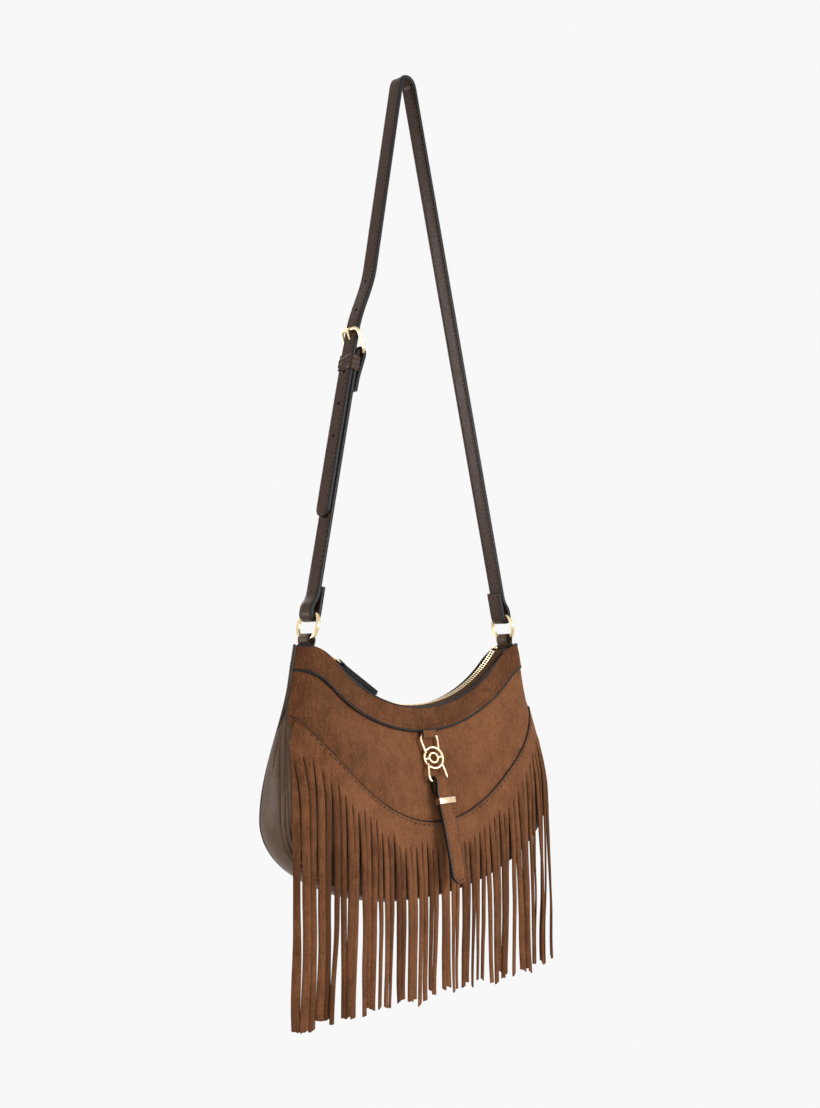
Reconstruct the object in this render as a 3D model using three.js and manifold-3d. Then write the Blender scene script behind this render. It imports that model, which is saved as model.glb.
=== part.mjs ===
// Fringed suede crossbody bag, hanging by its strap.
// Millimetres, +Z up. X runs across the bag, the fringed front faces -Y.
// The origin is the underside of the strap's crown, where a hook or a shoulder carries it.

import * as THREE from 'three';
import { mergeVertices } from 'three/addons/utils/BufferGeometryUtils.js';
import Module from 'manifold-3d';

const wasm = await Module();
wasm.setup();

// Overall sizes
const STRAP_DROP = 476; // crown underside to the ring centres
const RING_SPACING = 230; // between the ring centres
const CORNER_SPAN = 258; // between the bag's two top corners
const BODY_WIDTH = 300;
const BODY_HEIGHT = 205; // top corners to the lowest seam
const FRINGE_DROP = 281; // top corners to the hem of the fringe
const GUSSET_DEPTH = 36; // front to back at the side seams
const MOUTH_DEPTH = 18; // front lip to back lip

// Outline of the body
const RING_CORNER_GAP = 2.1; // ring's lowest point above the top corners
const WAIST_SPAN = 277; // width where the sides begin to swell
const WAIST_DEPTH = 46;
const WIDEST_DEPTH = 133;
const BULGE = 11; // how far the full belly stands out past its seams
const BULGE_EDGE_RUN = 60; // from a seam to the full belly
const BULGE_NECK_RUN = 120; // from the mouth to the full belly
const GUSSET_FLARE_RUN = 90; // from the mouth to the full gusset depth
const PINCH_DEPTH = 8; // front to back at the side seams, near the top corners
const PINCH_END = 25; // where the pinched side seams begin to part
const PINCH_RUN = 110; // from there to the full gusset depth
const CORNER_ROUND_RUN = 8; // how far in from the seams the panels round off, at the top corners
const SIDE_ROUND_RUN = 45; // and at the full gusset depth

// Curves on the front, as depths below the top corners
const NECK_RADIUS = 138;
const NECK_DROP = 52.6;
const NECK_ARC_HALF = 93; // half the width of the round part of the neckline
const YOKE_CENTRE_DEPTH = 70.5;
const YOKE_SIDE_DEPTH = 18;
const YOKE_RADIUS = 158;
const YOKE_ARC_HALF = 104; // half the width of the round part of its lower edge
const SEAM_CENTRE_DEPTH = 145;
const SEAM_SIDE_DEPTH = 52;
const SLIT_BELOW_SEAM_CENTRE = 18;
const SLIT_BELOW_SEAM_SIDE = 36;
const SEAM_ALLOWANCE = 8; // overlap of one panel under the next

// Sheet thicknesses and clearances
const PANEL_T = 1;
const BACK_T = 3; // padded
const SUEDE_T = 1;
const YOKE_T = 1.8;
const LINING_T = 0.8;
const LAYER_GAP = 0.6; // between stacked sheets
const SEAT_GAP = 0.3; // between pieces that touch
const SIDE_INSET = 0.6; // overlays stop this far inside the side seams
const YOKE_RISE_RUN = 0.5; // share of the yoke's height over which it climbs over the saddle

// Fringe
const STRAND_COUNT = 48;
const STRAND_GAP = 1.1;
const STRAND_STAND_OFF = 0.5; // strands hang this far off the belly
const FRINGE_MARGIN = 3; // outermost strand to the widest seam

// Lining
const LINING_SPAN = 224;
const LINING_BELOW_MOUTH = 9;
const LINING_GAP = 1.4; // inside the panels
const LINING_PINCH = 1.3; // half depth where the lining is pinched shut at its ends
const LINING_SQUARENESS = 6; // power of the curve that pinches it

// Zip
const ZIP_RISE = 1.6; // teeth line above the lips
const TAPE_FALL = 2.2; // from the teeth to the tapes' outer edges, inside the lips
const ZIP_HALF_SPAN = 104;
const TAPE_T = 0.9;
const TEETH_HEIGHT = 2.2;
const TEETH_WIDTH = 1.9;
const TEETH_SPLIT = 1.4; // clear line between the two rows of teeth
const STOP_LENGTH = 2.5;
const SLIDER_LENGTH = 9;
const SLIDER_WIDTH = 8;
const SLIDER_PLATE_T = 1.3;
const SLIDER_POST_T = 0.7;
const SLIDER_CLEARANCE = 0.4;
const SLIDER_REST_DEG = -43; // along the neckline, from its lowest point
const BAIL_HEIGHT = 3.6;
const BAIL_T = 1.6;
const BAIL_FOOT_LENGTH = 3.2;
const BAIL_FOOT_HEIGHT = 0.7;
const PULL_LINK_RADIUS = 2.9; // half its length along the pull
const PULL_LINK_WIRE = 1.2;
const PULL_LENGTH = 52;
const PULL_WIDTH = 7;
const PULL_LEAF_T = 1.4;
const PULL_SLOT = 1.6; // between the two leaves of the pull
const PULL_LIFT_DEG = 11; // the pull's rise off the neckline

// Rings and their tabs
const RING_INNER = 20;
const RING_WIRE = 3.4;
const TAB_WIDTH = 11.6;
const TAB_LEAF_T = 1.6;
const TAB_HALF_OPEN = 3.1; // half the opening that the ring turns in
const TAB_ROOT_T = 3.6;
const TAB_ROOT_LENGTH = 12;

// Strap
const STRAP_WIDTH = 15;
const STRAP_T = 3.6;
const CROWN_RADIUS = 6; // underside of the crown
const LOOP_CLEARANCE = 0.5; // strap fold round a ring's wire
const FOLD_END = 32; // up from a ring's centre, along the leg
const FOLD_JOIN = 25; // where the folded strap closes up
const FOLD_TAPER = 0.35; // share of the fold's half width left just below there
const FOLD_TAPER_UP = 0.8; // share of the way up to there
const TAIL_END = 88;
const BEND_IN = 4.5; // inward bend of the strap above the buckle
const BEND_UP = 50; // up from the middle of the buckle to the bend
const BEND_START = 9; // where the strap leaves the upper bar
const HOLE_PITCH = 28;
const HOLE_DIAMETER = 2.6;
const HOLES_BELOW = 3;
const HOLES_ABOVE = 2;

// Buckle and keeper
const BUCKLE_UP = 240; // up from the left ring's centre to the middle of the buckle
const BUCKLE_BAR_GAP = 20.5; // between the two bar centres
const BUCKLE_WIRE = 3;
const BUCKLE_CORNER = 4;
const BUCKLE_SIDE_GAP = 1.2; // strap edge to the frame
const BUCKLE_BAR_CLEARANCE = 0.5; // strap fold and prong eye round the lower bar
const PRONG_T = 1.8;
const PRONG_WIDTH = 2;
const PRONG_OVERHANG = 2.5;
const PRONG_CLEARANCE = 0.4;
const BUCKLE_FOLD_END = 198;
const KEEPER_UP = 214;
const KEEPER_HEIGHT = 13;
const KEEPER_T = 1.4;

// Ornament on the front
const BAIL_WIRE = 2.4;
const LOOP_WIDTH = 15;
const LOOP_BELOW_YOKE = 4.6; // yoke edge to the upper bail
const LINK_LENGTH = 38.6; // between the two bails
const LINK_TILT_DEG = 18;
const LINK_SIDE_GAP = 0.9;
const MEDALLION_RADIUS = 8.8;
const MEDALLION_CORE_RADIUS = 4;
const BAIL_MEET_DEG = 30; // where the bails run into the medallion, from its middle line
const TONGUE_WIDTH = 16;
const TONGUE_T = 2.8;
const TONGUE_LENGTH = 84;
const TONGUE_TILT_DEG = 13;
const TONGUE_FOLD_LENGTH = 9;
const TONGUE_BACK_CLOSE = 0.6; // share of the fold's half width left at the end of its back leaf
const TONGUE_FRONT_CLOSE = 0.8; // and at the keeper
const TONGUE_KEEPER_DOWN = 17; // below the lower bail
const TONGUE_KEEPER_HEIGHT = 6;
const TONGUE_KEEPER_T = 0.9;
const PLATE_HEIGHT = 5;
const PLATE_T = 1;

// Mesh densities
const PANEL_COLUMNS = 32;
const UPPER_ROWS = 10;
const LOWER_ROWS = 6;
const SADDLE_ROWS = [0, 0.1, 0.2, 0.3, 0.4, 0.5, 0.6, 0.7, 0.8, 0.9, 1];
const YOKE_ROWS = [0, 0.25, 0.5, 0.75, 1];
const STRAND_ROWS = [0, 0.25, 0.55, 1];
const LINING_COLUMNS = 12;
const LINING_ROWS = [0, 0.2, 0.5, 0.8, 1];
const ARC_STEPS = 22;
const WIRE_SIDES = 8;
const RING_STEPS = 24;
const LINK_STEPS = 16;
const ROUND_STEPS = 12;
const BEND_STEPS = 8;
const CORNER_STEPS = 3;

const RAD = Math.PI / 180;
const RING_X = RING_SPACING / 2;
const RING_Z = -STRAP_DROP;
const RING_RADIUS = (RING_INNER + RING_WIRE) / 2;
const CORNER_Z = RING_Z - RING_RADIUS - RING_WIRE / 2 - RING_CORNER_GAP;
const CUT_THROUGH = 4 * STRAP_T; // depth of a cut right through a strap

// Finishes
const finishes = {
  suede: { color: 0x76492d, roughness: 0.95, metalness: 0 },
  darkLeather: { color: 0x3f2c22, roughness: 0.45, metalness: 0 },
  bodyLeather: { color: 0x5b4a3d, roughness: 0.45, metalness: 0 },
  liningCloth: { color: 0x4a3a2c, roughness: 0.9, metalness: 0 },
  zipTape: { color: 0x5a3a26, roughness: 0.9, metalness: 0 },
  gold: { color: 0xd8b878, roughness: 0.2, metalness: 1 },
};

const bag = new THREE.Group();

function addPiece(name, geometry, finish) {
  const piece = new THREE.Mesh(geometry, new THREE.MeshStandardMaterial(finishes[finish]));
  piece.name = name;
  bag.add(piece);
}

// Numbers and curves
function smooth(t) {
  const c = THREE.MathUtils.clamp(t, 0, 1);
  return c * c * (3 - 2 * c);
}

function dome(t) {
  const c = THREE.MathUtils.clamp(t, 0, 1);
  return c * (2 - c);
}

function spread(count, from, to) {
  return Array.from({ length: count + 1 }, (_, i) => THREE.MathUtils.lerp(from, to, i / count));
}

function zAt(depth) {
  return CORNER_Z - depth;
}

// A round dip between two level shoulders.
function dip(x, radius, drop, arcHalf) {
  const a = Math.min(Math.abs(x), arcHalf);
  const rise = Math.sqrt(radius ** 2 - a ** 2);
  const arcDepth = rise - radius + drop;
  const runOut = (2 * arcDepth * rise) / a;
  const past = Math.max(Math.abs(x) - arcHalf, 0);
  return arcDepth * Math.max(1 - past / Math.max(runOut, 1), 0) ** 2;
}

function neckDepth(x) {
  return dip(x, NECK_RADIUS, NECK_DROP, NECK_ARC_HALF);
}

function outlineHalf(depth) {
  if (depth <= WAIST_DEPTH) return THREE.MathUtils.lerp(CORNER_SPAN, WAIST_SPAN, depth / WAIST_DEPTH) / 2;
  if (depth <= WIDEST_DEPTH) {
    const t = (depth - WAIST_DEPTH) / (WIDEST_DEPTH - WAIST_DEPTH);
    return (WAIST_SPAN + (BODY_WIDTH - WAIST_SPAN) * Math.sin((t * Math.PI) / 2)) / 2;
  }
  const t = Math.min((depth - WIDEST_DEPTH) / (BODY_HEIGHT - WIDEST_DEPTH), 1);
  return (BODY_WIDTH / 2) * Math.sqrt(1 - t * t);
}

function outlineDepthAbove(half) {
  const t = (2 * half - WAIST_SPAN) / (BODY_WIDTH - WAIST_SPAN);
  const quarter = Math.asin(THREE.MathUtils.clamp(t, 0, 1)) / (Math.PI / 2);
  return THREE.MathUtils.lerp(WAIST_DEPTH, WIDEST_DEPTH, quarter);
}

function bottomDepth(x) {
  const t = Math.min(Math.abs(x) / (BODY_WIDTH / 2), 1);
  return WIDEST_DEPTH + (BODY_HEIGHT - WIDEST_DEPTH) * Math.sqrt(1 - t * t);
}

// Half the outline, from the right top corner to the lowest point.
const halfOutline = [
  ...spread(3, 0, WAIST_DEPTH).map((d) => new THREE.Vector2(outlineHalf(d), d)),
  ...spread(7, WAIST_DEPTH, WIDEST_DEPTH).slice(1).map((d) => new THREE.Vector2(outlineHalf(d), d)),
  ...spread(9, 0, Math.PI / 2).slice(1).map((a) => new THREE.Vector2(
    (BODY_WIDTH / 2) * Math.cos(a), WIDEST_DEPTH + (BODY_HEIGHT - WIDEST_DEPTH) * Math.sin(a))),
];

function seamDistance(x, depth) {
  const point = new THREE.Vector2(Math.abs(x), depth);
  let nearest = Infinity;
  for (let i = 1; i < halfOutline.length; i += 1) {
    const along = halfOutline[i].clone().sub(halfOutline[i - 1]);
    const toPoint = point.clone().sub(halfOutline[i - 1]);
    const t = THREE.MathUtils.clamp(toPoint.dot(along) / along.lengthSq(), 0, 1);
    nearest = Math.min(nearest, toPoint.sub(along.multiplyScalar(t)).length());
  }
  return nearest;
}

// Distance of the front panel's outer face from the zip's plane.
function bellyDepth(x, depth) {
  const belowNeck = depth - neckDepth(x);
  const inSeam = seamDistance(x, depth);
  const open = THREE.MathUtils.lerp(MOUTH_DEPTH, GUSSET_DEPTH, smooth(belowNeck / GUSSET_FLARE_RUN)) / 2;
  const edge = THREE.MathUtils.lerp(PINCH_DEPTH, GUSSET_DEPTH, smooth((depth - PINCH_END) / PINCH_RUN)) / 2;
  const round = THREE.MathUtils.lerp(CORNER_ROUND_RUN, SIDE_ROUND_RUN, smooth(depth / PINCH_RUN));
  const seam = THREE.MathUtils.lerp(edge, open, dome(inSeam / round));
  return seam + BULGE * dome(inSeam / BULGE_EDGE_RUN) * smooth(belowNeck / BULGE_NECK_RUN);
}

function yokeDepth(x) {
  const drop = YOKE_CENTRE_DEPTH - YOKE_SIDE_DEPTH;
  return YOKE_SIDE_DEPTH + dip(x, YOKE_RADIUS, drop, YOKE_ARC_HALF);
}

function seamDepth(x) {
  const t = x / outlineHalf(SEAM_SIDE_DEPTH);
  return SEAM_CENTRE_DEPTH - (SEAM_CENTRE_DEPTH - SEAM_SIDE_DEPTH) * t * t;
}

function slitDepth(x) {
  const t = Math.min(Math.abs(x) / outlineHalf(SEAM_SIDE_DEPTH), 1);
  return seamDepth(x) + THREE.MathUtils.lerp(SLIT_BELOW_SEAM_CENTRE, SLIT_BELOW_SEAM_SIDE, t);
}

// Solids from grids, wires and outlines
function closed(positions, triangles) {
  const raw = new THREE.BufferGeometry();
  raw.setAttribute('position', new THREE.Float32BufferAttribute(positions, 3));
  raw.setIndex(triangles);
  return outward(mergeVertices(raw, 1e-4));
}

function outward(geometry) {
  const source = geometry.index.array;
  const place = geometry.attributes.position;
  const corner = [0, 1, 2].map(() => new THREE.Vector3());
  const kept = [];
  let volume = 0;
  for (let i = 0; i < source.length; i += 3) {
    const [a, b, c] = [source[i], source[i + 1], source[i + 2]];
    if (a === b || b === c || a === c) continue;
    kept.push(a, b, c);
    [a, b, c].forEach((v, n) => corner[n].fromBufferAttribute(place, v));
    volume += corner[0].dot(corner[1].cross(corner[2]));
  }
  if (volume < 0) kept.reverse();
  geometry.setIndex(kept);
  return geometry;
}

// A sheet from a grid of points, each with a point on the outer and the inner face.
function sheet(grid, keep = () => true) {
  const columns = grid[0].length;
  const positions = grid.flat().flatMap((p) => [...p.outer.toArray(), ...p.inner.toArray()]);
  const triangles = [];
  const at = (i, j, side) => 2 * (i * columns + j) + side;
  const kept = (i, j) => i >= 0 && j >= 0 && i < grid.length - 1 && j < columns - 1 && keep(i, j);
  const quad = (a, b, c, d) => triangles.push(a, b, c, a, c, d);
  const wall = (i, j, m, n) => quad(at(m, n, 0), at(i, j, 0), at(i, j, 1), at(m, n, 1));
  for (let i = 0; i < grid.length - 1; i += 1) {
    for (let j = 0; j < columns - 1; j += 1) {
      if (!kept(i, j)) continue;
      quad(at(i, j, 0), at(i + 1, j, 0), at(i + 1, j + 1, 0), at(i, j + 1, 0));
      quad(at(i, j, 1), at(i, j + 1, 1), at(i + 1, j + 1, 1), at(i + 1, j, 1));
      if (!kept(i, j - 1)) wall(i, j, i + 1, j);
      if (!kept(i + 1, j)) wall(i + 1, j, i + 1, j + 1);
      if (!kept(i, j + 1)) wall(i + 1, j + 1, i, j + 1);
      if (!kept(i - 1, j)) wall(i, j + 1, i, j);
    }
  }
  return closed(positions, triangles);
}

// A round wire along a path that lies in the plane with the given normal.
function wire(path, normal, diameter, isLoop = false) {
  const count = path.length;
  const positions = [];
  const triangles = [];
  path.forEach((point, i) => {
    const before = path[isLoop ? (i + count - 1) % count : Math.max(i - 1, 0)];
    const after = path[isLoop ? (i + 1) % count : Math.min(i + 1, count - 1)];
    const into = point.clone().sub(before).normalize();
    const onward = after.clone().sub(point).normalize();
    const tangent = into.clone().add(onward).normalize();
    const miter = 1 / Math.max(tangent.dot(onward.lengthSq() ? onward : into), 0.5);
    const across = normal.clone().cross(tangent).normalize();
    for (let s = 0; s < WIRE_SIDES; s += 1) {
      const a = (s / WIRE_SIDES) * 2 * Math.PI;
      const spot = point.clone()
        .addScaledVector(across, (diameter / 2) * Math.cos(a) * miter)
        .addScaledVector(normal, (diameter / 2) * Math.sin(a));
      positions.push(...spot.toArray());
    }
  });
  const at = (i, s) => (i % count) * WIRE_SIDES + (s % WIRE_SIDES);
  for (let i = 0; i < (isLoop ? count : count - 1); i += 1) {
    for (let s = 0; s < WIRE_SIDES; s += 1) {
      triangles.push(at(i, s), at(i, s + 1), at(i + 1, s + 1), at(i, s), at(i + 1, s + 1), at(i + 1, s));
    }
  }
  for (let s = 1; !isLoop && s < WIRE_SIDES - 1; s += 1) {
    triangles.push(at(0, 0), at(0, s + 1), at(0, s));
    triangles.push(at(count - 1, 0), at(count - 1, s), at(count - 1, s + 1));
  }
  return closed(positions, triangles);
}

function arc(x, y, radius, from, to, steps) {
  const onArc = (a) => new THREE.Vector2(x + radius * Math.cos(a), y + radius * Math.sin(a));
  return spread(steps, from, to).map(onArc);
}

// The outline of a strip of even thickness along a flat path.
function strip(path, thickness) {
  const sides = [1, -1].map((sign) => path.map((point, i) => {
    const along = path[Math.min(i + 1, path.length - 1)].clone().sub(path[Math.max(i - 1, 0)]).normalize();
    return point.clone().add(new THREE.Vector2(-along.y, along.x).multiplyScalar((sign * thickness) / 2));
  }));
  return new THREE.Shape([...sides[0], ...sides[1].reverse()]);
}

function extruded(shape, width) {
  const geometry = new THREE.ExtrudeGeometry(shape, { depth: width, bevelEnabled: false, curveSegments: 1 });
  return geometry.translate(0, 0, -width / 2);
}

// An outline drawn in X and Z, given its width along Y.
function acrossY(shape, width) {
  return welded(extruded(shape, width).rotateX(Math.PI / 2));
}

// An outline drawn in Y and Z, given its width along X.
function acrossX(shape, width) {
  return welded(extruded(shape, width).rotateX(Math.PI / 2).rotateZ(Math.PI / 2));
}

function welded(geometry) {
  geometry.deleteAttribute('normal');
  geometry.deleteAttribute('uv');
  return outward(mergeVertices(geometry, 1e-4));
}

function solid(geometry) {
  return new wasm.Manifold(new wasm.Mesh({
    numProp: 3,
    vertProperties: new Float32Array(geometry.attributes.position.array),
    triVerts: new Uint32Array(geometry.index.array),
  }));
}

function fromSolid(body) {
  const mesh = body.getMesh();
  const geometry = new THREE.BufferGeometry();
  geometry.setAttribute('position', new THREE.BufferAttribute(new Float32Array(mesh.vertProperties), 3));
  geometry.setIndex(new THREE.BufferAttribute(new Uint32Array(mesh.triVerts), 1));
  return geometry;
}

function join(first, ...others) {
  return fromSolid(others.reduce((body, other) => body.add(solid(other)), solid(first)));
}

function cut(first, ...others) {
  return fromSolid(others.reduce((body, other) => body.subtract(solid(other)), solid(first)));
}

// Panels of the body
function facePoint(x, depth, inOffset, thickness, side) {
  const inside = bellyDepth(x, depth) + inOffset;
  return {
    outer: new THREE.Vector3(x, side * (inside + thickness), zAt(depth)),
    inner: new THREE.Vector3(x, side * inside, zAt(depth)),
  };
}

const panelSpread = spread(PANEL_COLUMNS, -1, 1).map((t) => Math.sin((t * Math.PI) / 2));

function bodyPanel(thickness, side) {
  const upper = spread(UPPER_ROWS, 0, 1).map((v) => panelSpread.map((u) => {
    const depth = THREE.MathUtils.lerp(neckDepth((u * CORNER_SPAN) / 2), WIDEST_DEPTH, v);
    return facePoint(u * outlineHalf(depth), depth, -thickness, thickness, side);
  }));
  const lower = spread(LOWER_ROWS, 0, 1).slice(1).map((v) => panelSpread.map((u) => {
    const x = (u * BODY_WIDTH) / 2;
    const depth = THREE.MathUtils.lerp(WIDEST_DEPTH, bottomDepth(x), Math.sin((v * Math.PI) / 2));
    return facePoint(x, depth, -thickness, thickness, side);
  }));
  return sheet([...upper, ...lower]);
}

// An overlay between two curves, running out to the side seams, where its lower curve is at sideDepth.
function overlay(topCurve, bottomCurve, sideDepth, rows, offset, thickness) {
  const half = outlineHalf(sideDepth);
  return sheet(rows.map((v) => panelSpread.map((u) => {
    const depth = THREE.MathUtils.lerp(topCurve(u * half), bottomCurve(u * half), v);
    return facePoint(u * (outlineHalf(depth) - SIDE_INSET), depth, offset(v), thickness, -1);
  })));
}

const layerRise = SUEDE_T + LAYER_GAP; // the yoke and the fringe climb over the saddle
const yokeOffset = (v) => LAYER_GAP + layerRise * smooth(v / YOKE_RISE_RUN);

addPiece('front_panel', bodyPanel(PANEL_T, -1), 'bodyLeather');
addPiece('back_panel', bodyPanel(BACK_T, 1), 'bodyLeather');
addPiece('saddle_panel', overlay((x) => yokeDepth(x) - SEAM_ALLOWANCE, (x) => seamDepth(x) + SEAM_ALLOWANCE,
  SEAM_SIDE_DEPTH, SADDLE_ROWS, () => LAYER_GAP, SUEDE_T), 'suede');
addPiece('front_yoke', overlay(neckDepth, yokeDepth, YOKE_SIDE_DEPTH,
  YOKE_ROWS, yokeOffset, YOKE_T), 'suede');

// Gusset: one long strip under both side seams and the bottom seam.
function gusset() {
  const leftHalf = halfOutline.map((p) => new THREE.Vector2(-p.x, p.y));
  const rim = [...leftHalf, ...halfOutline.slice(0, -1).reverse()];
  return sheet(rim.map((p, i) => {
    const along = rim[Math.min(i + 1, rim.length - 1)].clone().sub(rim[Math.max(i - 1, 0)]).normalize();
    const inner = p.clone().add(new THREE.Vector2(along.y, -along.x).multiplyScalar(PANEL_T));
    const edge = bellyDepth(p.x, p.y);
    const front = -edge + PANEL_T + SEAT_GAP;
    const back = edge - BACK_T - SEAT_GAP;
    return [front, (front + back) / 2, back].map((y) => ({
      outer: new THREE.Vector3(p.x, y, zAt(p.y)),
      inner: new THREE.Vector3(inner.x, y, zAt(inner.y)),
    }));
  }));
}

addPiece('gusset', gusset(), 'bodyLeather');

// Fringe: one cut sheet, whole along its top and slit into strands below.
function fringe() {
  const span = BODY_WIDTH - 2 * FRINGE_MARGIN;
  const pitch = span / STRAND_COUNT;
  const lines = Array.from({ length: STRAND_COUNT }, (_, k) => {
    const left = -span / 2 + k * pitch + STRAND_GAP / 2;
    return [left, left + pitch - STRAND_GAP];
  }).flat();
  const columns = lines.map((x) => {
    const top = Math.max(seamDepth(x), outlineDepthAbove(Math.abs(x) + SIDE_INSET));
    const slit = Math.max(slitDepth(x), top + SEAM_ALLOWANCE);
    const hanging = STRAND_ROWS.map((t) => THREE.MathUtils.lerp(slit, FRINGE_DROP, t));
    const depths = [top, (top + slit) / 2, ...hanging];
    return depths.map((depth, row) => {
      const reached = spread(ROUND_STEPS, top, Math.min(depth, bottomDepth(x)));
      const belly = Math.max(...reached.map((d) => bellyDepth(x, d)));
      const inside = belly + LAYER_GAP + layerRise + (row > 2 ? STRAND_STAND_OFF : 0);
      return {
        outer: new THREE.Vector3(x, -inside - SUEDE_T, zAt(depth)),
        inner: new THREE.Vector3(x, -inside, zAt(depth)),
      };
    });
  });
  const grid = columns[0].map((_, row) => columns.map((column) => column[row]));
  return sheet(grid, (row, line) => line % 2 === 0 || row < 2);
}

addPiece('fringe', fringe(), 'suede');

// Lining: a flat pocket inside the panels, open along the mouth.
function lining() {
  const half = LINING_SPAN / 2;
  const xs = spread(LINING_COLUMNS, -1, 1).map((t) => half * Math.sin((t * Math.PI) / 2));
  const way = [...LINING_ROWS.map((v) => [-1, v]), ...LINING_ROWS.toReversed().map((v) => [1, v])];
  const grid = way.map(([side, v]) => xs.map((x) => {
    const top = neckDepth(x) + LINING_BELOW_MOUTH;
    const bottom = bottomDepth(x) - PANEL_T - LINING_GAP - (v < 1 ? SEAM_ALLOWANCE / 2 : 0);
    const depth = THREE.MathUtils.lerp(top, bottom, v);
    const room = bellyDepth(x, depth) - BACK_T - LINING_GAP - (v < 1 ? 0 : SEAM_ALLOWANCE);
    const pinch = Math.sqrt(1 - Math.min(Math.abs(x) / half, 1) ** LINING_SQUARENESS);
    const y = LINING_PINCH + (room - LINING_PINCH) * pinch;
    return {
      outer: new THREE.Vector3(x, side * y, zAt(depth)),
      inner: new THREE.Vector3(x, side * (y - LINING_T), zAt(depth - (v < 1 ? 0 : LINING_T))),
    };
  }));
  return sheet(grid);
}

addPiece('lining', lining(), 'liningCloth');

// Zip: tapes, teeth, stops and slider follow the round of the neckline.
const zipRadius = NECK_RADIUS - ZIP_RISE;
const zipCentre = new THREE.Vector3(0, 0, CORNER_Z + NECK_RADIUS - NECK_DROP);
const zipHalfAngle = Math.asin(ZIP_HALF_SPAN / NECK_RADIUS);

function zipPoint(angle, y, above) {
  const radius = zipRadius - above;
  return new THREE.Vector3(radius * Math.sin(angle), y, zipCentre.z - radius * Math.cos(angle));
}

function zipStrip(from, to, steps, yFrom, yTo, height, fall = 0) {
  return sheet(spread(steps, from, to).map((angle) => [[yFrom, 0], [yTo, fall]].map(([y, below]) => ({
    outer: zipPoint(angle, y, height / 2 - below),
    inner: zipPoint(angle, y, -height / 2 - below),
  }))));
}

const teethInner = TEETH_SPLIT / 2;
const teethOuter = teethInner + TEETH_WIDTH;
const lipInner = { front: MOUTH_DEPTH / 2 - PANEL_T, back: MOUTH_DEPTH / 2 - BACK_T };
for (const [name, side] of [['front', -1], ['back', 1]]) {
  const along = (from, to, height, fall) => zipStrip(-zipHalfAngle, zipHalfAngle, ARC_STEPS,
    side * from, side * to, height, fall);
  addPiece(`${name}_zip_tape`, along(teethOuter + SEAT_GAP, lipInner[name] - SEAT_GAP, TAPE_T, TAPE_FALL),
    'zipTape');
  addPiece(`${name}_zip_teeth`, along(teethInner, teethOuter, TEETH_HEIGHT), 'gold');
}
for (const [name, side] of [['left', -1], ['right', 1]]) {
  const near = side * (zipHalfAngle + SEAT_GAP / zipRadius);
  const far = near + (side * STOP_LENGTH) / zipRadius;
  addPiece(`${name}_zip_stop`, zipStrip(near, far, 1, -teethOuter, teethOuter, TEETH_HEIGHT), 'gold');
}

// A block in the slider's own frame: along the zip, across it, and up from the teeth.
function block(length, width, height, along, across, up) {
  const geometry = new THREE.BoxGeometry(length, width, height);
  return welded(geometry.translate(along, across, up));
}

const sliderAngle = SLIDER_REST_DEG * RAD;
const plateInner = TEETH_HEIGHT / 2 + SLIDER_CLEARANCE;
const plateMid = plateInner + SLIDER_PLATE_T / 2;
const bailBase = plateInner + SLIDER_PLATE_T;
const bailEye = bailBase + BAIL_HEIGHT / 2;

function onSlider(geometry) {
  const seat = zipPoint(sliderAngle, 0, 0);
  return geometry.rotateY(-sliderAngle).translate(seat.x, seat.y, seat.z);
}

function slider() {
  const bailArc = arc(0, bailEye, BAIL_HEIGHT / 2, -Math.PI / 4, (5 * Math.PI) / 4, ROUND_STEPS);
  const bailShape = new THREE.Shape(bailArc);
  const eyeRadius = PULL_LINK_WIRE / 2 + SLIDER_CLEARANCE;
  bailShape.holes.push(new THREE.Path(arc(0, bailEye, eyeRadius, 0, 2 * Math.PI, ROUND_STEPS).slice(1)));
  return onSlider(join(
    block(SLIDER_LENGTH, SLIDER_WIDTH, SLIDER_PLATE_T, 0, 0, plateMid),
    block(SLIDER_LENGTH, SLIDER_WIDTH, SLIDER_PLATE_T, 0, 0, -plateMid),
    block(SLIDER_LENGTH / 2, SLIDER_POST_T, 2 * plateMid, 0, 0, 0),
    acrossY(bailShape, BAIL_T),
    block(BAIL_FOOT_LENGTH, BAIL_T, SLIDER_PLATE_T + BAIL_FOOT_HEIGHT, 0, 0,
      plateMid + BAIL_FOOT_HEIGHT / 2),
  ));
}

// The pull's frame: its near end at the slider's eye, lying along the zip and lifted off it.
function onPull(geometry) {
  const eye = zipPoint(sliderAngle, 0, bailEye);
  return geometry.rotateY(-sliderAngle - PULL_LIFT_DEG * RAD).translate(eye.x, eye.y, eye.z);
}

function pullLink() {
  const half = (PULL_WIDTH + PULL_LINK_WIRE) / 2 + SLIDER_CLEARANCE;
  const square = (value) => Math.sign(value) * Math.sqrt(Math.abs(value));
  const path = spread(LINK_STEPS, 0, 2 * Math.PI).slice(1).map((a) => new THREE.Vector3(
    PULL_LINK_RADIUS * (1 - square(Math.cos(a))), half * square(Math.sin(a)), 0));
  return onPull(wire(path, new THREE.Vector3(0, 0, 1), PULL_LINK_WIRE, true));
}

function pullLeather() {
  const slotEnd = PULL_SLOT / 2;
  const nearEnd = 2 * PULL_LINK_RADIUS - PULL_LINK_WIRE / 2;
  const farEnd = nearEnd + PULL_LENGTH - 2 * (slotEnd + PULL_LEAF_T);
  const round = (radius) => [
    ...arc(nearEnd, 0, radius, Math.PI / 2, (3 * Math.PI) / 2, BEND_STEPS),
    ...arc(farEnd, 0, radius, -Math.PI / 2, Math.PI / 2, BEND_STEPS),
  ];
  const shape = new THREE.Shape(round(slotEnd + PULL_LEAF_T));
  shape.holes.push(new THREE.Path(round(slotEnd)));
  return onPull(acrossY(shape, PULL_WIDTH));
}

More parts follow.
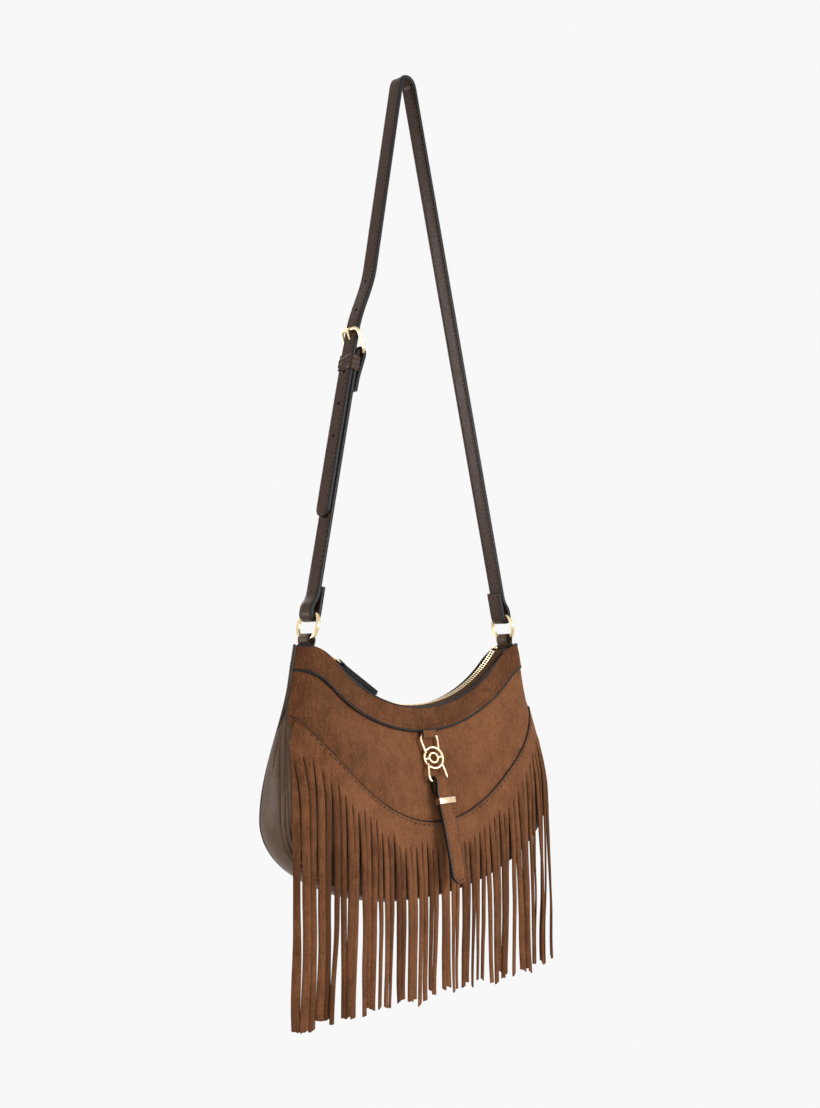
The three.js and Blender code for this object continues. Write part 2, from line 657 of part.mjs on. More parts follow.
addPiece('zip_slider', slider(), 'gold');
addPiece('zip_pull_link', pullLink(), 'gold');
addPiece('zip_pull', pullLeather(), 'darkLeather');

// Legs of the strap run from the ring centres to the crown.
const crownPath = CROWN_RADIUS + STRAP_T / 2;
const crownDrop = STRAP_DROP - CROWN_RADIUS;
const legReach = Math.hypot(RING_X, crownDrop);
const legLean = Math.atan2(RING_X, crownDrop) - Math.asin(crownPath / legReach);

// A point beside a leg: inward from its centre line, and up along it from the ring's centre.
function legPoint(side, inward, up) {
  const x = RING_X - up * Math.sin(legLean) - inward * Math.cos(legLean);
  return new THREE.Vector2(side * x, RING_Z + up * Math.cos(legLean) - inward * Math.sin(legLean));
}

const onLeg = (side) => (p) => legPoint(side, p.x, p.y);
const at2 = (x, y) => new THREE.Vector2(x, y);

const leafHalf = RING_WIRE / 2 + LOOP_CLEARANCE + STRAP_T / 2;
const foldedLeaf = STRAP_T + SEAT_GAP; // from one leaf's middle to the next
const innerCrossing = Math.sqrt((RING_INNER / 2) ** 2 - (STRAP_WIDTH / 2) ** 2);
const loopBend = innerCrossing - SEAT_GAP - STRAP_T / 2 + leafHalf;

// The strap's end folded round a ring: up the inner leaf's end, down, round the wire and up the leg.
const ringFold = [
  at2(foldedLeaf, FOLD_END),
  at2(leafHalf, RING_RADIUS + leafHalf),
  ...arc(0, loopBend, leafHalf, 0, -Math.PI, BEND_STEPS),
  at2(-leafHalf, RING_RADIUS + leafHalf),
  at2(-leafHalf * FOLD_TAPER, FOLD_JOIN * FOLD_TAPER_UP),
  at2(0, FOLD_JOIN),
];

// Buckle, tilted so that the strap runs straight behind its upper bar and over its lower one.
const barRadius = BUCKLE_WIRE / 2;
const barFold = barRadius + BUCKLE_BAR_CLEARANCE + STRAP_T / 2;
const tailIn = -foldedLeaf; // the tail lies on the outer side of the short strap
const lowerBarIn = barFold;
const upperBarIn = tailIn - STRAP_T / 2 - SEAT_GAP - barRadius;
const buckleTilt = Math.asin((lowerBarIn - upperBarIn) / BUCKLE_BAR_GAP);
const lowerBarUp = BUCKLE_UP - (BUCKLE_BAR_GAP / 2) * Math.cos(buckleTilt);

// The prong leaves the lower bar and leans on the outer side of the upper bar.
const prongSlack = barRadius + SEAT_GAP + PRONG_T / 2;
const prongAngle = buckleTilt + Math.asin(prongSlack / BUCKLE_BAR_GAP);
const prongReach = Math.sqrt(BUCKLE_BAR_GAP ** 2 - prongSlack ** 2) + PRONG_OVERHANG;

function prongPoint(reach) {
  return at2(lowerBarIn - reach * Math.sin(prongAngle), lowerBarUp + reach * Math.cos(prongAngle));
}

const prongEye = barRadius + BUCKLE_BAR_CLEARANCE + PRONG_T / 2;
const prongPath = [prongPoint(prongEye), prongPoint(prongReach / 2), prongPoint(prongReach)];

function legStrip(side, path, thickness, width) {
  return acrossY(strip(path.map(onLeg(side)), thickness), width);
}

// Holes go through the strap's thickness.
function strapHole(up) {
  const drill = new THREE.CylinderGeometry(HOLE_DIAMETER / 2, HOLE_DIAMETER / 2, CUT_THROUGH, WIRE_SIDES);
  const place = legPoint(-1, tailIn, up);
  return welded(drill.rotateZ(Math.PI / 2).rotateY(legLean).translate(place.x, 0, place.y));
}

// Takes the two square corners off the end of a strip that points down its leg.
function roundEndCutter(width) {
  const half = width / 2;
  const shape = new THREE.Shape([at2(-width, -width), at2(width, -width), at2(width, half), at2(half, half),
    ...arc(0, half, half, 0, -Math.PI, ROUND_STEPS), at2(-width, half)]);
  return extruded(shape, CUT_THROUGH);
}

function longStrap() {
  const crown = arc(0, -CROWN_RADIUS, crownPath, legLean, Math.PI - legLean, ROUND_STEPS);
  const path = [
    ...ringFold.map(onLeg(1)),
    ...crown,
    legPoint(-1, BEND_IN, BUCKLE_UP + BEND_UP),
    legPoint(-1, tailIn, BUCKLE_UP + BEND_START),
    legPoint(-1, tailIn, TAIL_END),
  ];
  const end = legPoint(-1, tailIn, TAIL_END);
  const endCutter = roundEndCutter(STRAP_WIDTH).rotateX(Math.PI / 2).rotateZ(Math.PI / 2).rotateY(legLean);
  const ups = [...spread(HOLES_BELOW - 1, -HOLES_BELOW, -1), ...spread(HOLES_ABOVE - 1, 1, HOLES_ABOVE)];
  return cut(
    acrossY(strip(path, STRAP_T), STRAP_WIDTH),
    welded(endCutter.translate(end.x, 0, end.y)),
    legStrip(-1, prongPath, PRONG_T + 2 * PRONG_CLEARANCE, PRONG_WIDTH + 2 * PRONG_CLEARANCE),
    ...ups.map((n) => strapHole(BUCKLE_UP + n * HOLE_PITCH)),
  );
}

function shortStrap() {
  const path = [
    ...ringFold,
    at2(0, lowerBarUp),
    ...arc(lowerBarIn, lowerBarUp, barFold, Math.PI, 0, BEND_STEPS).slice(1),
    at2(foldedLeaf + SEAT_GAP, BUCKLE_FOLD_END),
  ];
  const slotWidth = PRONG_WIDTH + 4 * PRONG_CLEARANCE;
  const slotReach = barFold + STRAP_T;
  const slot = [at2(lowerBarIn, lowerBarUp - slotReach), at2(lowerBarIn, lowerBarUp + slotReach)];
  return cut(legStrip(-1, path, STRAP_T, STRAP_WIDTH), legStrip(-1, slot, 2 * slotReach, slotWidth));
}

addPiece('strap_long', longStrap(), 'darkLeather');
addPiece('strap_short', shortStrap(), 'darkLeather');

function buckleFrame() {
  const half = STRAP_WIDTH / 2 + BUCKLE_SIDE_GAP + barRadius;
  const reach = BUCKLE_BAR_GAP / 2;
  const corners = [[1, 1, 0], [-1, 1, 1], [-1, -1, 2], [1, -1, 3]];
  const quarterTurn = Math.PI / 2;
  const flat = corners.flatMap(([sy, sz, n]) => arc(sy * (half - BUCKLE_CORNER), sz * (reach - BUCKLE_CORNER),
    BUCKLE_CORNER, n * quarterTurn, (n + 1) * quarterTurn, CORNER_STEPS));
  const middle = legPoint(-1, (lowerBarIn + upperBarIn) / 2, BUCKLE_UP);
  const path = flat.map((p) => new THREE.Vector3(0, p.x, p.y));
  return wire(path, new THREE.Vector3(1, 0, 0), BUCKLE_WIRE, true)
    .rotateY(legLean - buckleTilt).translate(middle.x, 0, middle.y);
}

function buckleProng() {
  const eye = new THREE.Shape(arc(0, 0, prongEye + PRONG_T / 2, 0, 2 * Math.PI, ROUND_STEPS).slice(1));
  eye.holes.push(new THREE.Path(arc(0, 0, prongEye - PRONG_T / 2, 0, 2 * Math.PI, ROUND_STEPS).slice(1)));
  const bar = legPoint(-1, lowerBarIn, lowerBarUp);
  return join(
    legStrip(-1, prongPath, PRONG_T, PRONG_WIDTH),
    acrossY(eye, PRONG_WIDTH).translate(bar.x, 0, bar.y),
  );
}

function strapKeeper() {
  const inner = STRAP_T / 2 + SEAT_GAP;
  const outer = tailIn - STRAP_T / 2 - SEAT_GAP;
  const half = STRAP_WIDTH / 2 + SEAT_GAP;
  const box = (grow) => [at2(outer - grow, -half - grow), at2(inner + grow, -half - grow),
    at2(inner + grow, half + grow), at2(outer - grow, half + grow)];
  const shape = new THREE.Shape(box(KEEPER_T));
  shape.holes.push(new THREE.Path(box(0)));
  const seat = legPoint(-1, 0, KEEPER_UP + KEEPER_HEIGHT / 2);
  return welded(extruded(shape, KEEPER_HEIGHT)).rotateY(legLean).translate(seat.x, 0, seat.y);
}

addPiece('buckle_frame', buckleFrame(), 'gold');
addPiece('buckle_prong', buckleProng(), 'gold');
addPiece('strap_keeper', strapKeeper(), 'darkLeather');

// Rings lie in line with the legs, in upright tabs sewn into the top corners.
const tabCentreX = RING_X + RING_RADIUS * Math.sin(legLean);

function ring(side) {
  const path = spread(RING_STEPS, 0, 2 * Math.PI).slice(1).map((a) => new THREE.Vector3(
    0, RING_RADIUS * Math.cos(a), RING_RADIUS * Math.sin(a)));
  return wire(path, new THREE.Vector3(1, 0, 0), RING_WIRE, true)
    .rotateY(-side * legLean).translate(side * RING_X, 0, RING_Z);
}

function ringTab(side) {
  const crossing = Math.sqrt((RING_INNER / 2) ** 2 - (TAB_WIDTH / 2) ** 2);
  const outer = TAB_HALF_OPEN + TAB_LEAF_T;
  const bendZ = RING_Z - crossing + 2 * SEAT_GAP - TAB_HALF_OPEN;
  const seatZ = RING_Z - RING_RADIUS - RING_WIRE / 2 - SEAT_GAP;
  const root = TAB_ROOT_T / 2;
  const middle = side * (tabCentreX - TAB_LEAF_T / 2);
  const shape = new THREE.Shape([
    ...arc(middle, bendZ, outer, 0, Math.PI, BEND_STEPS),
    at2(middle - outer, seatZ),
    at2(middle - root, zAt(outer - root)),
    at2(middle - root, zAt(TAB_ROOT_LENGTH)),
    at2(middle + root, zAt(TAB_ROOT_LENGTH)),
    at2(middle + root, zAt(outer - root)),
    at2(middle + outer, seatZ),
  ]);
  const slackBend = Math.min(seatZ + TAB_HALF_OPEN, bendZ);
  shape.holes.push(new THREE.Path([
    ...arc(middle, bendZ, TAB_HALF_OPEN, 0, Math.PI, BEND_STEPS),
    ...arc(middle, slackBend, TAB_HALF_OPEN, Math.PI, 2 * Math.PI, BEND_STEPS),
  ]));
  return acrossY(shape, TAB_WIDTH);
}

for (const [name, side] of [['left', -1], ['right', 1]]) {
  addPiece(`${name}_ring`, ring(side), 'gold');
  addPiece(`${name}_ring_tab`, ringTab(side), 'darkLeather');
}

// Ornament: a link that hangs from a loop under the yoke, and a tongue that hangs from the link.
const linkTilt = LINK_TILT_DEG * RAD;
const tongueTilt = TONGUE_TILT_DEG * RAD;
const bailRadius = BAIL_WIRE / 2;
const loopFold = bailRadius + SEAT_GAP + SUEDE_T / 2;
const loopDepth = YOKE_CENTRE_DEPTH + LOOP_BELOW_YOKE;
const loopStandOff = layerRise + SEAT_GAP + SUEDE_T / 2 + loopFold;
const upperBail = at2(-bellyDepth(0, loopDepth) - loopStandOff, zAt(loopDepth));
const linkDown = at2(-Math.sin(linkTilt), -Math.cos(linkTilt));
const lowerBail = upperBail.clone().addScaledVector(linkDown, LINK_LENGTH);

// A point in the link's plane: across it, and down it from the upper bail.
function linkPoint(across, down) {
  return new THREE.Vector3(across, upperBail.x + down * linkDown.x, upperBail.y + down * linkDown.y);
}

const linkNormal = new THREE.Vector3(0, -Math.cos(linkTilt), Math.sin(linkTilt));

function ornamentLoop() {
  const outer = loopFold + SUEDE_T / 2;
  const inner = loopFold - SUEDE_T / 2;
  const shape = new THREE.Shape([
    ...arc(0, 0, outer, Math.PI, 2 * Math.PI, BEND_STEPS),
    at2(outer, loopFold),
    at2(-outer, loopFold),
  ]);
  shape.holes.push(new THREE.Path(arc(0, 0, inner, 0, 2 * Math.PI, ROUND_STEPS).slice(1)));
  return acrossX(shape, LOOP_WIDTH).translate(0, upperBail.x, upperBail.y);
}

function linkRing(radius) {
  const path = spread(LINK_STEPS, 0, 2 * Math.PI).slice(1)
    .map((a) => linkPoint(radius * Math.cos(a), LINK_LENGTH / 2 + radius * Math.sin(a)));
  return wire(path, linkNormal, BAIL_WIRE, true);
}

function linkBail(width, end, sign) {
  const half = width / 2 + LINK_SIDE_GAP + bailRadius;
  const shoulder = LINK_LENGTH / 2 - sign * MEDALLION_RADIUS * Math.sin(BAIL_MEET_DEG * RAD);
  const waist = MEDALLION_RADIUS * Math.cos(BAIL_MEET_DEG * RAD);
  const path = [[-waist, shoulder], [-half, end + sign * BAIL_WIRE], [-half + bailRadius, end],
    [half - bailRadius, end], [half, end + sign * BAIL_WIRE], [waist, shoulder]];
  return wire(path.map(([across, down]) => linkPoint(across, down)), linkNormal, BAIL_WIRE);
}

function ornamentLink() {
  const spoke = [MEDALLION_RADIUS, MEDALLION_CORE_RADIUS].map((r) => linkPoint(-r, LINK_LENGTH / 2));
  const otherSpoke = spoke.map((p) => new THREE.Vector3(-p.x, p.y, p.z));
  return join(
    linkRing(MEDALLION_RADIUS),
    linkRing(MEDALLION_CORE_RADIUS),
    wire(spoke, linkNormal, BAIL_WIRE),
    wire(otherSpoke, linkNormal, BAIL_WIRE),
    linkBail(LOOP_WIDTH, 0, 1),
    linkBail(TONGUE_WIDTH, LINK_LENGTH, -1),
  );
}

// A point beside the tongue: out from its face, and down it from the lower bail.
function tonguePoint(out, down) {
  return at2(lowerBail.x - down * Math.sin(tongueTilt) - out * Math.cos(tongueTilt),
    lowerBail.y - down * Math.cos(tongueTilt) + out * Math.sin(tongueTilt));
}

const tongueFold = bailRadius + SEAT_GAP + TONGUE_T / 2;
const keeperOut = tongueFold * TONGUE_FRONT_CLOSE;

function tongue() {
  const bend = arc(0, 0, tongueFold, Math.PI, 0, BEND_STEPS).map((p) => tonguePoint(p.x, -p.y));
  const back = tonguePoint(-tongueFold * TONGUE_BACK_CLOSE, TONGUE_FOLD_LENGTH);
  const path = [back, ...bend, tonguePoint(keeperOut, TONGUE_KEEPER_DOWN),
    tonguePoint(tongueFold, TONGUE_LENGTH)];
  const tip = tonguePoint(tongueFold, TONGUE_LENGTH);
  const tipCutter = roundEndCutter(TONGUE_WIDTH).rotateX(Math.PI / 2).rotateX(-tongueTilt);
  return cut(acrossX(strip(path, TONGUE_T), TONGUE_WIDTH), welded(tipCutter.translate(0, tip.x, tip.y)));
}

// A piece round or on the tongue, drawn across it and out from it, then laid along it.
function onTongue(shape, height, out) {
  const seat = tonguePoint(out, TONGUE_KEEPER_DOWN);
  return welded(extruded(shape, height)).rotateX(-tongueTilt).translate(0, seat.x, seat.y);
}

function rectangle(width, thickness) {
  return [at2(-width / 2, -thickness / 2), at2(width / 2, -thickness / 2), at2(width / 2, thickness / 2),
    at2(-width / 2, thickness / 2)];
}

const keeperInnerWidth = TONGUE_WIDTH + 2 * SEAT_GAP;
const keeperInnerT = TONGUE_T + 2 * SEAT_GAP;
const keeperWidth = keeperInnerWidth + 2 * TONGUE_KEEPER_T;

function tongueKeeper() {
  const shape = new THREE.Shape(rectangle(keeperWidth, keeperInnerT + 2 * TONGUE_KEEPER_T));
  shape.holes.push(new THREE.Path(rectangle(keeperInnerWidth, keeperInnerT)));
  return onTongue(shape, TONGUE_KEEPER_HEIGHT, keeperOut);
}

function tonguePlate() {
  const plateOut = keeperOut + keeperInnerT / 2 + TONGUE_KEEPER_T + SEAT_GAP + PLATE_T / 2;
  const shape = new THREE.Shape(rectangle(keeperWidth, PLATE_T));
  return onTongue(shape, PLATE_HEIGHT, plateOut);
}

addPiece('ornament_loop', ornamentLoop(), 'suede');
addPiece('ornament_link', ornamentLink(), 'gold');
addPiece('tongue', tongue(), 'suede');
addPiece('tongue_keeper', tongueKeeper(), 'suede');
addPiece('tongue_plate', tonguePlate(), 'gold');

export default bag;
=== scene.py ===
"""Fringed suede crossbody bag hanging by its strap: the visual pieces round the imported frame."""

import math
import random

import bmesh
import bpy
from bpy.props import FloatProperty, FloatVectorProperty, IntProperty, PointerProperty
from mathutils import Matrix, Vector, noise


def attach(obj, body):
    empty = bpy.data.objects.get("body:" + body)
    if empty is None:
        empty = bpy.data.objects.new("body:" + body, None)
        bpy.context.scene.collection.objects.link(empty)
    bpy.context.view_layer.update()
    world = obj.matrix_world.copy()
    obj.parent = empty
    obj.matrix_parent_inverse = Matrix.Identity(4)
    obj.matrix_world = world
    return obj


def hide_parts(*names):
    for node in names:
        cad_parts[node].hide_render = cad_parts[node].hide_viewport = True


bl_info = {
    "name": "Fringed suede bag",
    "version": (1, 0, 0),
    "blender": (4, 5, 0),
    "location": "View3D > Sidebar > Bag",
    "description": "Builds the leather, suede, fringe, zip and fittings of a small crossbody bag",
    "category": "Add Mesh",
}

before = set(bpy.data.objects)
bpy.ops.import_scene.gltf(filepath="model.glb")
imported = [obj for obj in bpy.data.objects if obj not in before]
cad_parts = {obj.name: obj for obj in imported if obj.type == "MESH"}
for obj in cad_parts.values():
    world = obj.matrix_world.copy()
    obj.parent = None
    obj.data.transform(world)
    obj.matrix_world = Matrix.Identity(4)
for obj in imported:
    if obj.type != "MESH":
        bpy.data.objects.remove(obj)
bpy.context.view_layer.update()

MM = 0.001
STITCH_LEAN = math.radians(7)
X, Y, Z = Vector((1, 0, 0)), Vector((0, 1, 0)), Vector((0, 0, 1))

# Body outline, in millimetres: depths are below the top corners
CORNER_Z = -491.5
CORNER_SPAN, WAIST_SPAN, BODY_WIDTH = 258, 277, 300
WAIST_DEPTH, WIDEST_DEPTH, BODY_HEIGHT = 46, 133, 205
GUSSET_DEPTH, MOUTH_DEPTH = 36, 18
PINCH_DEPTH, PINCH_END, PINCH_RUN = 0.6, 25, 110
CORNER_ROUND_RUN, SIDE_ROUND_RUN = 8, 45
BULGE, BULGE_EDGE_RUN, BULGE_NECK_RUN, GUSSET_FLARE_RUN = 11, 60, 120, 90
NECK_RADIUS, NECK_DROP, NECK_ARC_HALF = 138, 52.6, 93
YOKE_CENTRE_DEPTH, YOKE_SIDE_DEPTH, YOKE_RADIUS, YOKE_ARC_HALF = 70.5, 18, 158, 104
SEAM_CENTRE_DEPTH, SEAM_SIDE_DEPTH = 145, 52
LAYER_GAP, YOKE_T = 0.6, 1.7
FRINGE_DROP = 281

# Strap, rings and buckle
STRAP_DROP, RING_X, RING_RADIUS, RING_WIRE = 476, 115, 11.7, 3.4
STRAP_WIDTH, STRAP_T, CROWN_RADIUS = 15, 3.6, 6
FOLD_END, FOLD_JOIN, TAIL_END = 32, 25, 88
BEND_IN, BEND_START, BEND_END = 4.5, 9, 66
STRAP_STEP, HOLE_RADIUS, HOLE_PITCH = 1.5, 1.35, 28
BUCKLE_UP, BUCKLE_BAR_GAP, BUCKLE_WIRE, BUCKLE_FOLD_END = 240, 20.5, 3, 198
KEEPER_UP, KEEPER_HEIGHT = 214, 13
SEAT_GAP = 0.3
TAB_WIDTH, TAB_T = 11.6, 1.6

# Zip
ZIP_RADIUS, ZIP_HALF_SPAN, TAPE_FALL = NECK_RADIUS - 1.6, 104, 2.2
ZIP_CENTRE_Z = CORNER_Z + NECK_RADIUS - NECK_DROP
ZIP_HALF_ANGLE = math.asin(ZIP_HALF_SPAN / NECK_RADIUS)
SLIDER_ANGLE = math.radians(-43)
PULL_LIFT = math.radians(11)
PULL_LENGTH, PULL_WIDTH = 52, 7

# Ornament
UPPER_BAIL = Vector((0, -15.82, -566.6))
LINK_LENGTH, LINK_TILT = 38.6, math.radians(18)
MEDALLION_RADIUS, MEDALLION_CORE, MEDALLION_TURN = 8.8, 4, 13
BAIL_WIRE, LOOP_WIDTH = 2.4, 15
TONGUE_WIDTH, TONGUE_T, TONGUE_LENGTH, TONGUE_TILT = 16, 2.8, 84, math.radians(13)
TONGUE_KEEPER_DOWN, TONGUE_KEEPER_HEIGHT = 17, 6


def colour(name, about, value):
    return FloatVectorProperty(
        name=name, description=about, default=value, size=3, min=0, max=1, subtype="COLOR")


def length(name, about, value):
    return FloatProperty(name=name, description=about, default=value, min=0, unit="LENGTH", subtype="DISTANCE")


class BagSizes(bpy.types.PropertyGroup):
    """Sizes of the sewn detail."""

    strand_count: IntProperty(
        name="Strands", description="Strands cut into the fringe", default=48, min=8, max=90)
    strand_gap: length("Strand gap", "Width lost to each cut, below its slit", 0.0004)
    strand_sway: length("Strand sway", "How far a strand's end drifts sideways", 0.0048)
    strand_ragged: length("Ragged ends", "Difference between one strand's length and the next", 0.0045)
    suede: length("Suede", "Thickness of the suede", 0.001)
    edge_bead: length("Painted edge", "Thickness of the yoke's painted lower edge", 0.0025)
    stitch_pitch: length("Stitch pitch", "From one stitch to the next", 0.0040)
    stitch_length: length("Stitch length", "Length of one stitch", 0.0027)
    thread: length("Thread", "Thickness of the thread", 0.0010)
    pleat: length("Pleat", "Depth of the pleats in the gusset", 0.0034)
    tooth_pitch: length("Tooth pitch", "From one zip tooth to the next on the same tape", 0.0026)


class BagColours(bpy.types.PropertyGroup):
    """Colours of the finishes."""

    suede: colour("Suede", "Suede where the nap lies flat", (0.300, 0.122, 0.053))
    # The deep suede colour is also the dark end that the painted shade pushes the suede towards.
    suede_deep: colour("Suede, deep", "Suede where the nap is brushed up", (0.092, 0.034, 0.014))
    body: colour("Body leather", "Smooth leather of the gusset and back", (0.094, 0.050, 0.027))
    strap: colour("Strap leather", "Glossy leather of the strap", (0.042, 0.0165, 0.0075))
    paint: colour("Edge paint", "Paint on cut edges", (0.008, 0.007, 0.007))
    thread: colour("Thread", "Thread on the suede", (0.170, 0.075, 0.036))
    dark_thread: colour("Strap thread", "Thread on the strap", (0.110, 0.065, 0.042))
    gold: colour("Gold plate", "Plated metal", (0.820, 0.640, 0.400))
    tape: colour("Zip tape", "Woven tape", (0.080, 0.040, 0.020))
    lining: colour("Lining", "Woven lining", (0.060, 0.040, 0.026))
    backdrop: colour("Backdrop", "Paper behind the bag", (0.939, 0.939, 0.939))


# Numbers and curves


def clamp(t, low=0.0, high=1.0):
    return min(max(t, low), high)


def lerp(a, b, t):
    return a + (b - a) * t


def smooth(t):
    t = clamp(t)
    return t * t * (3 - 2 * t)


def dome(t):
    t = clamp(t)
    return t * (2 - t)


def hump(t, width):
    return math.exp(-((t / width) ** 2))


def dip(x, radius, drop, arc_half):
    """A round dip between two level shoulders."""
    a = min(abs(x), arc_half)
    rise = math.sqrt(radius**2 - a**2)
    arc_depth = rise - radius + drop
    run_out = 2 * arc_depth * rise / max(a, 1e-6)
    past = max(abs(x) - arc_half, 0)
    return arc_depth * max(1 - past / max(run_out, 1), 0) ** 2


def neck_depth(x):
    return dip(x, NECK_RADIUS, NECK_DROP, NECK_ARC_HALF)


def outline_half(depth):
    if depth <= WAIST_DEPTH:
        return lerp(CORNER_SPAN, WAIST_SPAN, depth / WAIST_DEPTH) / 2
    if depth <= WIDEST_DEPTH:
        t = (depth - WAIST_DEPTH) / (WIDEST_DEPTH - WAIST_DEPTH)
        return lerp(WAIST_SPAN, BODY_WIDTH, math.sin(t * math.pi / 2)) / 2
    t = min((depth - WIDEST_DEPTH) / (BODY_HEIGHT - WIDEST_DEPTH), 1)
    return BODY_WIDTH / 2 * math.sqrt(1 - t * t)


def outline_depth(half):
    t = clamp((2 * half - WAIST_SPAN) / (BODY_WIDTH - WAIST_SPAN))
    return lerp(WAIST_DEPTH, WIDEST_DEPTH, math.asin(t) / (math.pi / 2))


def bottom_depth(x):
    t = min(abs(x) / (BODY_WIDTH / 2), 1)
    return WIDEST_DEPTH + (BODY_HEIGHT - WIDEST_DEPTH) * math.sqrt(1 - t * t)


def half_outline():
    upper = [(outline_half(d), d) for d in [WIDEST_DEPTH * i / 44 for i in range(45)]]
    lower = [
        (BODY_WIDTH / 2 * math.cos(a), WIDEST_DEPTH + (BODY_HEIGHT - WIDEST_DEPTH) * math.sin(a))
        for a in [math.pi / 2 * i / 40 for i in range(1, 41)]
    ]
    return [Vector(p) for p in upper + lower]


OUTLINE = half_outline()
COARSE = OUTLINE[::4] + [OUTLINE[-1]]


def seam_distance(x, depth):
    point = Vector((abs(x), depth))
    nearest = 1e9
    for a, b in zip(COARSE, COARSE[1:]):
        along = b - a
        t = clamp((point - a).dot(along) / max(along.length_squared, 1e-9))
        nearest = min(nearest, (point - a - along * t).length)
    return nearest


def belly(x, depth):
    """Distance of the front panel's face from the zip's plane."""
    below, inside = depth - neck_depth(x), seam_distance(x, depth)
    wide = lerp(MOUTH_DEPTH, GUSSET_DEPTH, smooth(below / GUSSET_FLARE_RUN)) / 2
    edge = lerp(PINCH_DEPTH, GUSSET_DEPTH, smooth((depth - PINCH_END) / PINCH_RUN)) / 2
    run = lerp(CORNER_ROUND_RUN, SIDE_ROUND_RUN, smooth(depth / PINCH_RUN))
    seam = lerp(edge, wide, dome(inside / run))
    return seam + BULGE * dome(inside / BULGE_EDGE_RUN) * smooth(below / BULGE_NECK_RUN)


def yoke_depth(x):
    drop = YOKE_CENTRE_DEPTH - YOKE_SIDE_DEPTH
    return YOKE_SIDE_DEPTH + dip(x, YOKE_RADIUS, drop, YOKE_ARC_HALF)


def seam_depth(x):
    t = x / outline_half(SEAM_SIDE_DEPTH)
    return SEAM_CENTRE_DEPTH - (SEAM_CENTRE_DEPTH - SEAM_SIDE_DEPTH) * t * t


def on_front(x, depth, out):
    return Vector((x, -belly(x, depth) - out, CORNER_Z - depth))


def rough(point, size, seed=0.0):
    """Smooth noise from -1 to 1 whose lumps are about the given size."""
    return noise.noise(Vector((point[0] / size + seed, point[1] / size - seed, point[2] / size)))


def resampled(points, step):
    """The same path with a point about every step."""
    lengths = [0.0]
    for a, b in zip(points, points[1:]):
        lengths.append(lengths[-1] + (b - a).length)
    count = max(int(round(lengths[-1] / step)), 2)
    out, i = [], 0
    for n in range(count + 1):
        goal = lengths[-1] * n / count
        while i < len(points) - 2 and lengths[i + 1] < goal:
            i += 1
        span = max(lengths[i + 1] - lengths[i], 1e-9)
        out.append(points[i].lerp(points[i + 1], clamp((goal - lengths[i]) / span)))
    return out


def relaxed(points, passes):
    """The path with its kinks rounded off, its ends kept."""
    for _ in range(passes):
        inner = [(a + b * 2 + c) / 4 for a, b, c in zip(points, points[1:], points[2:])]
        points = [points[0], *inner, points[-1]]
    return points


def turn(centre, radius, start, end, steps, right=X, up=Z):
    """Points round part of a circle."""
    angles = [lerp(start, end, i / steps) for i in range(steps + 1)]
    return [centre + right * (radius * math.cos(a)) + up * (radius * math.sin(a)) for a in angles]


def rounded_box(half_right, half_up, corner, steps, right, up):
    """Points round a rectangle with round corners."""
    points = []
    for quarter, (a, b) in enumerate(((1, 1), (-1, 1), (-1, -1), (1, -1))):
        centre = right * (a * (half_right - corner)) + up * (b * (half_up - corner))
        points += turn(centre, corner, quarter * math.pi / 2, (quarter + 1) * math.pi / 2, steps, right, up)
    return points


# Finishes


class Value:
    """A shader socket that takes part in Python arithmetic."""

    def __init__(self, finish, node, socket):
        self.finish, self.node, self.socket = finish, node, socket

    def output(self, name):
        return Value(self.finish, self.node, self.node.outputs[name])

    def _with(self, operation, first, second):
        return self.finish.add("ShaderNodeMath", {"operation": operation}, {0: first, 1: second})

    def __add__(self, other):
        return self._with("ADD", self, other)

    def __radd__(self, other):
        return self._with("ADD", other, self)

    def __sub__(self, other):
        return self._with("SUBTRACT", self, other)

    def __rsub__(self, other):
        return self._with("SUBTRACT", other, self)

    def __mul__(self, other):
        return self._with("MULTIPLY", self, other)

    def __rmul__(self, other):
        return self._with("MULTIPLY", other, self)


class Finish:
    """One material, or the world's light, and the nodes that make it."""

    def __init__(self, name, owner=None):
        self.material = owner or bpy.data.materials.new(name)
        self.material.use_nodes = True
        self.tree = self.material.node_tree
        self.tree.nodes.clear()

    def add(self, kind, settings=None, sockets=None):
        node = self.tree.nodes.new(kind)
        for name, value in (settings or {}).items():
            if name == "stops":
                ramp = node.color_ramp
                while len(ramp.elements) < len(value):
                    ramp.elements.new(0.5)
                for element, (place, shade) in zip(ramp.elements, value):
                    element.position, element.color = place, (shade, shade, shade, 1)
            else:
                setattr(node, name, value)
        for name, value in (sockets or {}).items():
            if isinstance(value, Value):
                self.tree.links.new(value.socket, node.inputs[name])
            else:
                node.inputs[name].default_value = value
        return Value(self, node, node.outputs[0] if node.outputs else None)

    def place(self):
        return self.add("ShaderNodeTexCoord").output("Object")

    def stretched(self, place, scale):
        return self.add("ShaderNodeMapping", {}, {"Vector": place, "Scale": scale})

    def cloud(self, place, size, detail=2.0, roughness=0.5):
        """Noise with lumps of the given size in metres."""
        return self.add("ShaderNodeTexNoise", {}, {
            "Vector": place, "Scale": 1 / size, "Detail": detail, "Roughness": roughness})

    def ramp(self, value, stops):
        return self.add("ShaderNodeValToRGB", {"stops": stops}, {"Fac": value})

    def mix(self, first, second, share):
        tint = [(*c, 1) if isinstance(c, (tuple, list)) else c for c in (first, second)]
        node = self.add("ShaderNodeMix", {"data_type": "RGBA"}, {0: share, 6: tint[0], 7: tint[1]})
        return Value(self, node.node, node.node.outputs[2])

    def bump(self, height, depth, strength=1.0):
        return self.add("ShaderNodeBump", {}, {"Strength": strength, "Distance": depth, "Height": height})

    def done(self, **sockets):
        names = {key.replace("_", " "): value for key, value in sockets.items()}
        shader = self.add("ShaderNodeBsdfPrincipled", {}, names)
        self.add("ShaderNodeOutputMaterial", {}, {"Surface": shader})
        return self.material


